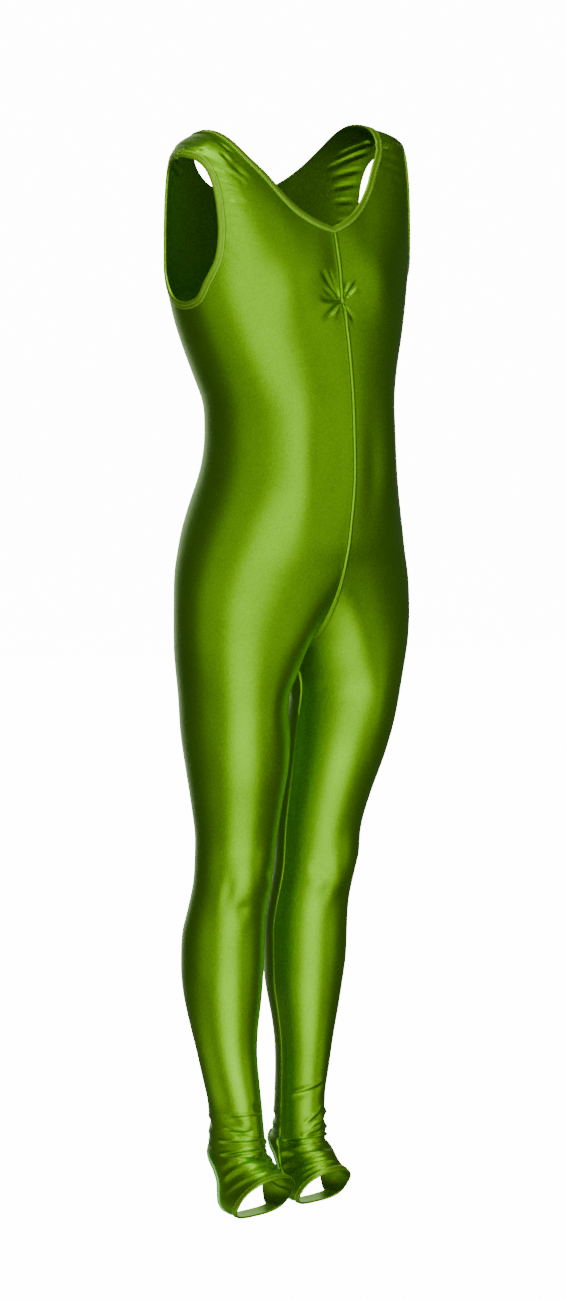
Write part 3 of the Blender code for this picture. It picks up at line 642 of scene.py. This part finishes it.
def fine(values):
    """Values with each interval between them cut into cells, the first one, beside the seam, most finely."""
    out = [values[0] + (values[1] - values[0]) * part for part in SEAM_CELLS]
    for start, end, cells in zip(values[1:], values[2:], CELLS):
        out += [start + (end - start) * i / cells for i in range(cells)]
    return np.array([*out, values[-1]])


def around(front, under, back):
    """One row's values from the centre front round to the centre back."""
    return np.concatenate([front, under[1:-1], back[::-1]])


FRONT_ARM = len(fine(COLUMNS[0])) - 1
BACK_ARM = FRONT_ARM + UNDERARM_CELLS * UNDERARM_SPLIT
LAST = BACK_ARM + FRONT_ARM


def even_columns():
    """Where each column would lie from 0 to 1 if the coarse ones were evenly spaced."""
    side = (len(COLUMNS[0]) - 1) / COARSE_CELLS
    edge = fine(np.linspace(0, side, len(COLUMNS[0])))
    return around(edge, np.linspace(side, 1 - side, BACK_ARM - FRONT_ARM + 1), 1 - edge)


def column_at(coarse):
    """The fine column nearest to a coarse one."""
    return int(np.abs(even_columns() - coarse / COARSE_CELLS).argmin())


def chest_turns():
    """The turn of each column on the chest line, from the centre front round to the centre back."""
    side, corner = body("outer", CHEST_LINE), body("corner", CHEST_LINE)
    front, back = (
        np.degrees(np.arccos((fine(columns) * armhole[1][1] / side) ** (corner / 2)))
        for columns, armhole in zip(COLUMNS, ARMHOLES)
    )
    return around(-front, np.linspace(-front[-1], back[-1], BACK_ARM - FRONT_ARM + 1), back)


def dip():
    """How far the armhole's lower edge hangs below the chest line, for each column."""
    drop = np.zeros(LAST + 1)
    under = np.arange(BACK_ARM - FRONT_ARM + 1) / UNDERARM_SPLIT
    table = (("place", "drop"), *enumerate(ARMHOLE_DIP))
    drop[FRONT_ARM : BACK_ARM + 1] = read(table, "drop", under)
    return drop


def spaced(start, end, step):
    """Heights from a start down to an end, about a step apart."""
    return np.linspace(start, end, round(abs(end - start) / step) + 1)


def foot_turns(tilt):
    """The turn of each column on the foot, so that two of them follow the heel opening's edges."""
    edge = float(read(FOOT, "heel_edge", tilt))
    west, east = (even_columns()[column_at(column)] for column in HEEL_COLUMNS)
    return np.interp(even_columns(), [0, west, east, 1], [-180, edge, 180 - edge, 180])


def blended(rows):
    """The rows, averaged over height near the crotch and away from the seams, so that no line shows."""
    levels = np.array([row[2] for row in rows])
    points = np.array([row[0] for row in rows])
    span = np.abs(np.gradient(levels))
    out = []
    for (row, turns, level), at in zip(rows, levels):
        near = float(bell((at - CROTCH_HEIGHT) / BLEND_HEIGHT))
        weight = span * bell((levels - at) / BLEND_REACH)
        mean = np.tensordot(weight, points, 1) / weight.sum()
        share = np.clip(from_ends(row) / BLEND_SEAM_REACH, 0, 1)[:, None] * min(1.0, BLEND_STRENGTH * near)
        share = share * (1, 1, 0)
        out.append((row * (1 - share) + mean * share, turns, level))
    return out


def net_rows(left):
    """Every row below the chest line, from the chest to the hem of the foot: its points, turns and level."""
    shares = (chest_turns() + 90) / 180
    rows = [(body_point(CHEST_LINE - dip(), chest_turns()), chest_turns(), CHEST_LINE)]
    rises = [1 - math.cos(math.radians(turn)) for turn in spaced(*CROTCH_TURNS)]
    crotch = [CROTCH_HEIGHT + CROTCH_RISE * rise for rise in rises]
    above = [*spaced(*GATHER_ROWS), *spaced(*TORSO_ROWS), *crotch]
    for height in (*above, *spaced(*LEG_ROWS), *spaced(*ANKLE_ROWS)):
        fade = max(0.0, (height - DIP_FADES_AT) / (CHEST_LINE - DIP_FADES_AT))
        mix = min(1.0, max(0.0, (SPREAD_ABOVE - height) / (SPREAD_ABOVE - EVEN_BELOW)))
        mix = mix * mix * (3 - 2 * mix)
        across = 2 * (shares * (1 - mix) + even_columns() * mix) - 1
        spread = 90 + 90 * mix
        turns = across * (spread + (open_turn(height) - spread) * np.abs(across) ** 3)
        ankle = min(1.0, max(0.0, 1 - (height - ANKLE_HEIGHT) / ANKLE_FADE))
        turns = turns * (1 - ankle) + foot_turns(0) * ankle
        rows.append((body_point(height - dip() * fade, turns), turns, height))
    crotch_row = len(above)
    rows = blended(rows)
    for tilt in np.linspace(0, HEM_TILT, FOOT_TILTS + 1):
        level = ANKLE_HEIGHT - LEVEL_PER_TILT * tilt
        rows.append((foot_point(tilt, foot_turns(tilt), left), foot_turns(tilt), level))
    return rows, crotch_row


class Half:
    """One half's cut panel as it lies on the left: points, each one's place on it, quads and edge loops. Each
    edge point goes with its neighbour further in."""

    def __init__(self, left):
        self.points, self.places, self.faces, self.on_centre = [], [], [], []
        rows, crotch_row = net_rows(left)
        first = len(rows) - FOOT_TILTS - 1
        last = first + round(FOOT_TILTS * HEEL_TILT / HEM_TILT)
        west, east = (column_at(column) for column in HEEL_COLUMNS)
        ids = []
        for k, (row, turns, level) in enumerate(rows):
            ids.append(self.add(row, turns, level, from_ends(row), "body", k >= crotch_row))
            if k <= crotch_row:
                self.on_centre += [ids[-1][0], ids[-1][-1]]
        for k in range(len(rows) - 1):
            hole = range(west, east) if first <= k < last else ()
            self.join(ids[k], ids[k + 1], [j for j in range(LAST) if j not in hole])

        front_ids = self.bodice(False, ids[0][: FRONT_ARM + 1])
        back_ids = self.bodice(True, ids[0][BACK_ARM:][::-1])
        ridge, spare = front_ids[-1], back_ids[-1]
        back_ids[-1] = ridge
        swap = dict(zip(spare, ridge))
        self.faces = [tuple(swap.get(i, i) for i in face) for face in self.faces]

        grid, front, back = (np.array(rows) for rows in (ids, front_ids, back_ids))
        front_seam, back_seam = (rows[0] for rows in BODICE_ROWS)
        edges = {
            "neck": (front[front_seam:, :2], back[-2 : back_seam - 1 : -1, :2]),
            "armhole": (
                front[:0:-1, [-1, -2]],
                grid[:2, FRONT_ARM : BACK_ARM + 1].T,
                back[1:-1, [-1, -2]],
            ),
            "heel": (
                grid[[first, first - 1], west:east].T,
                grid[first:last, [east, east + 1]],
                grid[[last, last + 1], east:west:-1].T,
                grid[last:first:-1, [west, west - 1]],
            ),
            "hem": (grid[[-1, -2], :-1].T,),
        }
        self.edges = {name: np.concatenate(parts) for name, parts in edges.items()}
        self.points, self.faces = np.array(self.points), np.array(self.faces)

    def add(self, row, turns, level, seam, zone, closed=False):
        """Puts in a row of points and returns their numbers."""
        start, count = len(self.points), len(row) - 1 if closed else len(row)
        self.points.extend(row[:count])
        self.places.extend((turns[i], level, seam[i], zone) for i in range(count))
        numbers = list(range(start, start + count))
        return numbers + numbers[:1] if closed else numbers

    def join(self, upper, lower, columns):
        """Joins two rows with quads."""
        self.faces += [(upper[j], lower[j], lower[j + 1], upper[j + 1]) for j in columns]

    def bodice(self, back, base):
        """The front or back above the chest line, on the row that it stands on. Rows run from the centre."""
        net = bodice_net(fine(COLUMNS[back]), back)
        seam_rows = BODICE_ROWS[back][0]
        numbers = [list(base)]
        for k, row in enumerate(net[1:], 1):
            seam = run(row) if k <= seam_rows else np.full(len(row), FAR)
            numbers.append(self.add(row, np.zeros(len(row)), FAR, seam, FACES[back]))
            if k <= seam_rows:
                self.on_centre.append(numbers[-1][0])
        for lower, upper in zip(numbers, numbers[1:]):
            ends = (lower, upper) if back else (upper, lower)
            self.join(*ends, range(len(lower) - 1))
        return numbers


def merged():
    """Both halves as one mesh, welded along the centre seams: points, quads, place data and edge loops."""
    left, right = Half(True), Half(False)
    count = len(left.points)
    points = np.concatenate([left.points, right.points * (-1, 1, 1)])
    owner = np.arange(2 * count)
    centre = np.array(left.on_centre)
    owner[centre + count] = centre
    points[centre, 0] = 0.0
    faces = np.concatenate([left.faces, owner[right.faces[:, ::-1] + count]])
    names = ("turn", "level", "seam", "zone")
    place = SimpleNamespace(**{name: np.tile(values, 2) for name, values in zip(names, zip(*left.places))})
    place.side = np.repeat(["left", "right"], count)
    return points, faces, place, left.edges, owner, centre, count


def side_lines(faces):
    """The two ends of every edge line of the quads, once each way."""
    ends = np.concatenate([faces[:, [i, (i + 1) % 4]] for i in range(4)])
    return np.unique(np.concatenate([ends, ends[:, ::-1]]), axis=0)


def averaged(values, lines):
    """Each point's mean of its neighbours' values."""
    count = np.maximum(np.bincount(lines[:, 0], minlength=len(values)), 1)[:, None]
    sums = [np.bincount(lines[:, 0], values[lines[:, 1], i], len(values)) for i in range(values.shape[1])]
    return np.stack(sums, -1) / count


def smoothed(points, faces, centre, held):
    """Points with the net's kinks taken out, and no shrinking. Held points stay, centre ones keep x at 0."""
    lines = side_lines(faces)
    stay = held | (np.bincount(lines[:, 0], minlength=len(points)) == 0)
    for step in range(SMOOTHING_STEPS):
        pull = SMOOTH_IN if step % 2 == 0 else SMOOTH_OUT
        moved = points + pull * (averaged(points, lines) - points)
        moved[centre, 0] = 0.0
        points = np.where(stay[:, None], points, moved)
    return points


def normals_of(points, faces):
    """Smooth outward normals."""
    a, b, c, d = (points[faces[:, i]] for i in range(4))
    normal = np.cross(c - a, d - b)
    total = np.zeros_like(points)
    for corner in range(4):
        for axis in range(3):
            total[:, axis] += np.bincount(faces[:, corner], normal[:, axis], len(points))
    return total / np.maximum(np.linalg.norm(total, axis=1, keepdims=True), 1e-12)


def rows_of(table):
    """A table's rows, each with its values by the names of the columns."""
    return [SimpleNamespace(**dict(zip(table[0], row))) for row in table[1:]]


def bell(value):
    """A soft hump, 1 at 0."""
    return np.exp(-(value**2))


def crease(away, sides):
    """A crease's section: a trough with a low ridge above and below it."""
    above, below = sides
    upper = above * bell((away - SIDE_OFF) / SIDE_WIDTH)
    lower = below * bell((away + SIDE_OFF) / SIDE_WIDTH)
    return upper + lower - bell(away)


def belongs(place, side):
    """Which points are below the chest line on a side, or on either."""
    return (place.zone == "body") & ((side == "both") | (place.side == side))


def leg_creases(place):
    """How far the creases of the legs push each point."""
    depth = np.zeros(len(place.turn))
    for fold in rows_of(LEG_FOLDS):
        off = (place.turn - fold.turn + 180) % 360 - 180
        along = off / fold.reach
        bend = fold.rise * along + LEG_FOLD_SAG * along**2
        width = fold.width * (LEG_FOLD_WIDTHS[0] + LEG_FOLD_WIDTHS[1] * np.clip(along, -1, 1))
        away = (place.level - fold.level - bend) / width
        window = np.clip(1 - along**2, 0, 1) ** FADE_POWER
        push = fold.depth * window * crease(away, LEG_SIDES)
        depth += np.where(belongs(place, fold.side), push, 0.0)
    return depth


def ankle_ridges(points, place):
    """How far the thin ridges and the hollows push each point. On the foot they fan out with its sections."""
    depth = np.zeros(len(points))
    fan = np.hypot(points[:, 1] - FOOT_PIVOT_Y, ANKLE_HEIGHT - points[:, 2]) / FAN_REACH
    strength = np.where(place.level < ANKLE_HEIGHT, np.clip(fan, FAN_LEAST, 1), 1.0)
    for row in rows_of(ANKLE_RIDGES):
        stops = [row.start, row.middle, row.end]
        curve = np.polyfit(stops, [row.start_level, row.middle_level, row.end_level], 2)
        along = (place.turn - row.start) / (row.end - row.start)
        away = (place.level - np.polyval(curve, place.turn)) / row.width
        window = np.clip(1 - np.abs(2 * along - 1) ** 3 / RIDGE_FADE, 0, 1)
        ridge = bell(away) - TROUGH_SHARE * bell((away + TROUGH_OFF) / TROUGH_WIDTH)
        push = row.height * strength * window * ridge
        depth += np.where(belongs(place, row.side), push, 0.0)
    for row in rows_of(LEG_HOLLOWS):
        off = (place.turn - row.turn) / row.turn_reach
        away = (place.level - row.level) / row.level_reach
        push = row.depth * strength * bell(off) * bell(away)
        depth -= np.where(belongs(place, row.side), push, 0.0)
    return depth


def swells(points):
    """How far the broad forms of the body lift each point."""
    lift = np.zeros(len(points))
    for row in rows_of(SWELLS):
        on_face = points[:, 1] < 0 if row.face == "front" else points[:, 1] > 0
        across = (np.abs(points[:, 0]) - row.across) / row.across_reach
        height = (points[:, 2] - row.height) / row.height_reach
        lift += np.where(on_face, row.lift * bell(across) * bell(height), 0.0)
    return lift


def strap_creases(points, place):
    """How far the creases above the chest line push each point."""
    depth = np.zeros(len(points))
    for fold in rows_of(STRAP_FOLDS):
        for side in ("left", "right"):
            if fold.side not in (side, "both"):
                continue
            mine = np.flatnonzero((place.zone == fold.face) & (place.side == side))
            sign = 1 if side == "left" else -1
            ends = []
            for across, height in ((fold.across, fold.height), (fold.end_across, fold.end_height)):
                aim = (across * sign, height)
                ends.append(points[mine[np.linalg.norm(points[mine][:, [0, 2]] - aim, axis=1).argmin()]])
            line = ends[1] - ends[0]
            share = (points[mine] - ends[0]) @ line / (line @ line)
            foot = ends[0] + np.clip(share, -STRAP_OVERRUN, 1 + STRAP_OVERRUN)[:, None] * line
            off = points[mine] - foot
            away = np.linalg.norm(off, axis=1) * np.sign(off[:, 2]) / fold.width
            window = np.clip(1 - (np.abs(share - 0.5) / STRAP_FADE_AT) ** 2, 0, 1) ** FADE_POWER
            depth[mine] += fold.depth * window * crease(away, STRAP_SIDES)
    return depth


def gather_creases(points):
    """How far the bust gather pushes each point."""
    x, z = points[:, 0], points[:, 2] - GATHER_HEIGHT
    reach, angle = np.hypot(x, z), np.degrees(np.arctan2(z, x))
    depth = -GATHER_DIMPLE * bell(reach / GATHER_DIMPLE_REACH)
    for fold in rows_of(GATHER_FOLDS):
        off = (angle - fold.angle + 180) % 360 - 180
        along = np.clip(reach / fold.length, 0, 1)
        width = fold.width * (GATHER_WIDTHS[0] + GATHER_WIDTHS[1] * along)
        away = reach * np.sin(np.radians(np.clip(off, -90, 90))) / width
        strength = np.sin(math.pi * along**GATHER_SKEW) * (np.abs(off) < 90)
        depth -= fold.depth * strength * bell(away)
    return np.where(points[:, 1] < 0, depth, 0.0)


def seam_relief(place):
    """The ridge of each half's seam allowance, and the groove on the seam between them."""
    off = place.seam
    height = np.where(place.side == "left", *SEAM_RIDGES)
    ridge = height * bell((off - SEAM_RIDGE_OFF) / SEAM_RIDGE_WIDTH)
    return ridge - SEAM_GROOVE * bell(off / SEAM_GROOVE_WIDTH)


def shaped_cloth():
    """The worn surface with its creases: points, normals, quads and edge loops."""
    points, faces, place, loops, owner, centre, count = merged()
    held = np.zeros(len(points), bool)
    for pairs in loops.values():
        held[owner[pairs[:, 0]]] = True
        held[owner[pairs[:, 0] + count]] = True
    points = smoothed(points, faces, centre, held)
    points = points + normals_of(points, faces) * swells(points)[:, None]
    depth = leg_creases(place) + ankle_ridges(points, place) + strap_creases(points, place)
    depth += gather_creases(points) + seam_relief(place)
    points = points + normals_of(points, faces) * depth[:, None]
    points[centre, 0] = 0.0
    rings = {"neck": np.concatenate([owner[loops["neck"]], owner[loops["neck"] + count][1:-1][::-1]])}
    for kind in ("armhole", "heel", "hem"):
        rings[kind + "_left"] = owner[loops[kind]]
        rings[kind + "_right"] = owner[loops[kind] + count]
    return points, normals_of(points, faces), faces, rings


def linked(name, data):
    """A new object in the scene."""
    item = bpy.data.objects.new(name, data)
    bpy.context.scene.collection.objects.link(item)
    return item


def new_object(name, points, faces, material):
    """A smooth mesh object, moved so that the origin is at the shoulders."""
    mesh = bpy.data.meshes.new(name)
    spots = (np.asarray(points) - (0, 0, SHOULDER_HEIGHT)).tolist()
    mesh.from_pydata(spots, [], [tuple(map(int, face)) for face in faces])
    mesh.shade_smooth()
    mesh.set_sharp_from_angle(angle=math.radians(SMOOTH_ANGLE))
    mesh.materials.append(material)
    item = linked(name, mesh)
    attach(item, "root")
    return item


def shell(name, side, points, normals, faces, material):
    """One half's cloth as a closed thin shell."""
    used, flat = np.unique(faces, return_inverse=True)
    faces = flat.reshape(faces.shape)
    outer, inner = points[used], points[used] - normals[used] * CLOTH
    count = len(used)
    sides = np.concatenate([faces[:, [i, (i + 1) % 4]] for i in range(4)])
    owned = set(map(tuple, sides))
    rim = [(b, a, a + count, b + count) for a, b in map(tuple, sides) if (b, a) not in owned]
    whole = np.concatenate([outer, inner])
    whole[:, 0] = side * np.maximum(side * whole[:, 0], HALF_GAP)
    return new_object(name, whole, [*faces, *(faces[:, ::-1] + count), *rim], material)


def evened(values, passes):
    """Values round a closed loop, softened."""
    for _ in range(passes):
        values = (np.roll(values, 1, axis=0) + 2 * values + np.roll(values, -1, axis=0)) / 4
    return values


def unit(vectors):
    """The vectors at length 1."""
    return vectors / np.maximum(np.linalg.norm(vectors, axis=-1, keepdims=True), 1e-12)


class Band:
    """A rolled band round a closed edge, lying on the cloth."""

    def __init__(self, points, normals, ring, size, surface):
        self.edge = points[ring[:, 0]]
        self.normal = unit(evened(normals[ring[:, 0]], NORMAL_PASSES))
        along = unit(np.roll(self.edge, -1, axis=0) - np.roll(self.edge, 1, axis=0))
        inward = np.cross(self.normal, along)
        inward *= np.sign((inward * (points[ring[:, 1]] - self.edge)).sum())
        self.inward = unit(evened(unit(inward), INWARD_PASSES))
        self.size, self.surface = size, surface

    def line(self, share, height):
        """The band's line at a share of its width in from the edge and a height in thicknesses."""
        off = self.edge + self.inward * self.size.width * share
        lift = BAND_GAP + self.size.thickness * height
        if share <= 0:
            return off + self.normal * lift, self.normal
        spots, ways = [], []
        for spot, way in zip(off, self.normal):
            above, down = Vector(spot + way * RAY_REACH), Vector(-way)
            hit, face_normal = self.surface.ray_cast(above, down, 2 * RAY_REACH)[:2]
            if hit is None:
                hit, face_normal = self.surface.find_nearest(Vector(spot))[:2]
            ways.append(way + np.array(face_normal) * np.sign(np.dot(face_normal, way)))
            spots.append(np.array(hit))
        ways = unit(evened(np.array(ways), WAY_PASSES))
        return np.array(spots) + ways * lift, ways

    def object(self, name, material):
        """The band as a closed roll."""
        lines = [self.line(row.share, row.height)[0] for row in rows_of(BAND_PROFILE)]
        lines += [self.line(share, 0.0)[0] for share in BAND_UNDERSIDE]
        grid = np.arange(len(lines) * len(self.edge)).reshape(len(lines), -1)
        beside = np.roll(grid, -1, axis=1)
        corners = (grid, beside, np.roll(beside, -1, axis=0), np.roll(grid, -1, axis=0))
        faces = np.stack(corners, -1).reshape(-1, 4)
        if (np.cross(self.edge[1] - self.edge[0], self.inward[0]) * self.normal[0]).sum() < 0:
            faces = faces[:, ::-1]
        return new_object(name, np.concatenate(lines), faces, material)

    def stitches(self, name, material):
        """Rows of stitches along the band. A stitch whose start and end differ in place slants across it."""
        spots, faces = [], []
        for places in self.size.stitch_rows:
            sides = [np.hstack(self.line(place / self.size.width, STITCH_HEIGHT)) for place in places]
            tracks = [np.concatenate([side, side[:1]]) for side in sides]
            reach = run(tracks[0][:, :3])
            number = round(reach[-1] / self.size.pitch)
            for i in range(number):
                tips = []
                for track, share in zip(tracks, (0.0, STITCH_FILL)):
                    at = (i + share) / number * reach[-1]
                    tips.append(np.array([np.interp(at, reach, track[:, axis]) for axis in range(6)]))
                add_thread(spots, faces, tips[0][:3], tips[1][:3], tips[0][3:], STITCH_WIDTH)
        return new_object(name, spots, faces, material)


def add_thread(spots, faces, start, end, up, width):
    """A short rounded thread from start to end."""
    side = unit(np.cross(end - start, up)) * width / 2
    up = unit(up) * width * THREAD_FLATNESS / 2
    grid = len(spots) + np.arange(len(THREAD_RINGS) * THREAD_SIDES).reshape(-1, THREAD_SIDES)
    for share, size in THREAD_RINGS:
        middle = start + (end - start) * share
        for turn in range(THREAD_SIDES):
            angle = 2 * math.pi * turn / THREAD_SIDES
            spots.append(middle + (side * math.cos(angle) + up * math.sin(angle)) * size)
    for ring, after in zip(grid, grid[1:]):
        faces.extend(zip(ring, after, np.roll(after, -1), np.roll(ring, -1)))
    faces.extend([grid[0], grid[-1][::-1]])


def tack_threads(surface, material):
    """The bar tack that gathers the centre front seam."""
    spots, faces = [], []
    for place, lean in TACK_BARS[1:]:
        height = GATHER_HEIGHT + place
        hits = []
        for side in (-1, 1):
            x = side * TACK_HALF_WIDTH
            hit = surface.ray_cast(Vector((x, -1, height + side * lean)), Vector((0, 1, 0)))[0]
            hits.append(np.array(hit))
        front = min(hit[1] for hit in hits) - TACK_LIFT
        for hit in hits:
            hit[1] = front
        add_thread(spots, faces, hits[0], hits[1], np.array([0.0, -1.0, 0.0]), TACK_THREAD)
    return new_object("gather_tack_threads", spots, faces, material)


def set_sockets(node, **settings):
    """Sets some of a shader node's sockets and returns the node."""
    for name, value in settings.items():
        node.inputs[name.replace("_", " ")].default_value = value
    return node


def knit(name, look):
    """Satin stretch knit: dark and bright by turns as it bends, with a fine knit surface."""
    material = bpy.data.materials.new(name)
    material.use_nodes = True
    tree = material.node_tree
    shader = tree.nodes["Principled BSDF"]
    set_sockets(shader, Roughness=look.roughness, Metallic=look.metallic, Sheen_Weight=look.sheen)
    set_sockets(shader, Sheen_Roughness=SHEEN_ROUGHNESS, Sheen_Tint=(*look.light, 1))
    place = tree.nodes.new("ShaderNodeTexCoord")
    cloud, grain = (
        set_sockets(tree.nodes.new("ShaderNodeTexNoise"), Scale=scale, Detail=detail, Roughness=roughness)
        for scale, (detail, roughness) in ((look.cloud, CLOUD_DETAIL), (look.grain, GRAIN_DETAIL))
    )
    both = set_sockets(tree.nodes.new("ShaderNodeMix"), Factor=GLITTER_SHARE)
    ramp = tree.nodes.new("ShaderNodeValToRGB")
    for stop, (name, at) in zip(ramp.color_ramp.elements, RAMP_STOPS):
        stop.position = at
        stop.color = (*getattr(look, name), 1)
    bump = set_sockets(tree.nodes.new("ShaderNodeBump"), Strength=look.bump, Distance=GRAIN_DEPTH)
    for start, output, end, socket in (
        (place, "Object", cloud, "Vector"),
        (place, "Object", grain, "Vector"),
        (cloud, "Fac", both, "A"),
        (grain, "Fac", both, "B"),
        (both, "Result", ramp, "Fac"),
        (ramp, "Color", shader, "Base Color"),
        (grain, "Fac", bump, "Height"),
        (bump, "Normal", shader, "Normal"),
    ):
        tree.links.new(start.outputs[output], end.inputs[socket])
    return material


def glowing(name):
    """A matt material that glows evenly."""
    material = bpy.data.materials.new(name)
    material.use_nodes = True
    shader = material.node_tree.nodes["Principled BSDF"]
    colour = (*STAGE_COLOUR, 1)
    set_sockets(shader, Base_Color=colour, Roughness=STAGE_ROUGHNESS, Specular_IOR_Level=STAGE_SPECULAR)
    set_sockets(shader, Emission_Color=colour, Emission_Strength=BACKDROP_GLOW)
    return material


def softbox(row):
    """An area light that faces its aim."""
    light = bpy.data.lights.new(row.name, "AREA")
    light.shape = "RECTANGLE"
    light.size, light.size_y = row.width, row.height
    light.energy = row.watts
    light.color = LIGHT_COLOUR
    item = linked(row.name, light)
    turn, away = math.radians(row.azimuth), row.distance
    item.location = (away * math.sin(turn), -away * math.cos(turn), row.level)
    aim = Vector((0, 0, row.aim)) - item.location
    item.rotation_euler = aim.to_track_quat("-Z", "Y").to_euler()
    item.visible_camera = False


def stage():
    """Floor, backdrop, lights, world and camera."""
    for name in ("floor", "backdrop"):
        if name == "floor":
            bpy.ops.mesh.primitive_circle_add(vertices=64, radius=FLOOR_RADIUS, fill_type="NGON")
        else:
            bpy.ops.mesh.primitive_uv_sphere_add(segments=48, ring_count=24, radius=BACKDROP_RADIUS)
        item = bpy.context.object
        item.name = name
        item.location = (0, 0, -SHOULDER_HEIGHT - FLOOR_DROP)
        item.data.materials.append(glowing(name))
        item.visible_glossy = item.visible_diffuse = item.visible_shadow = False
    for row in rows_of(LIGHTS):
        softbox(row)
    world = bpy.data.worlds.new("world")
    world.use_nodes = True
    set_sockets(world.node_tree.nodes["Background"], Color=(*WORLD_COLOUR, 1), Strength=WORLD_STRENGTH)
    bpy.context.scene.world = world
    lens = bpy.data.cameras.new("camera")
    lens.lens = CAMERA_LENS
    lens.sensor_width = CAMERA_SENSOR
    camera = linked("camera", lens)
    camera.location = CAMERA_PLACE
    camera.rotation_euler = (math.radians(90 - CAMERA_PITCH), 0, math.radians(CAMERA_AZIMUTH))
    bpy.context.scene.camera = camera


def main():
    """Builds every piece and hides the CAD part it stands in for, then the stage round it."""
    points, normals, faces, rings = shaped_cloth()
    surface = BVHTree.FromPolygons([Vector(p) for p in points], faces.tolist())
    looks = {row.name: knit(row.name, row) for row in rows_of(LOOKS)}
    half_faces = len(faces) // 2
    for side, name, own in ((1, "left", faces[:half_faces]), (-1, "right", faces[half_faces:])):
        cloth = shell(f"cloth_{name}", side, points, normals, own, looks["satin"])
        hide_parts(f"{name}_half")
    sizes = {row.name: row for row in rows_of(BANDS)}
    for ring_name, ring in rings.items():
        kind = ring_name.split("_")[0]
        band = Band(points, normals, ring, sizes[kind], surface)
        roll = band.object(f"{ring_name}_band", looks["heel_band" if kind == "heel" else "band"])
        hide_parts(NODE_NAMES[kind] + ring_name[len(kind) :])
        band.stitches(f"{ring_name}_stitches", looks["thread"])
    threads = tack_threads(surface, looks["thread"])
    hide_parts("front_gather_tack")
    stage()


main()
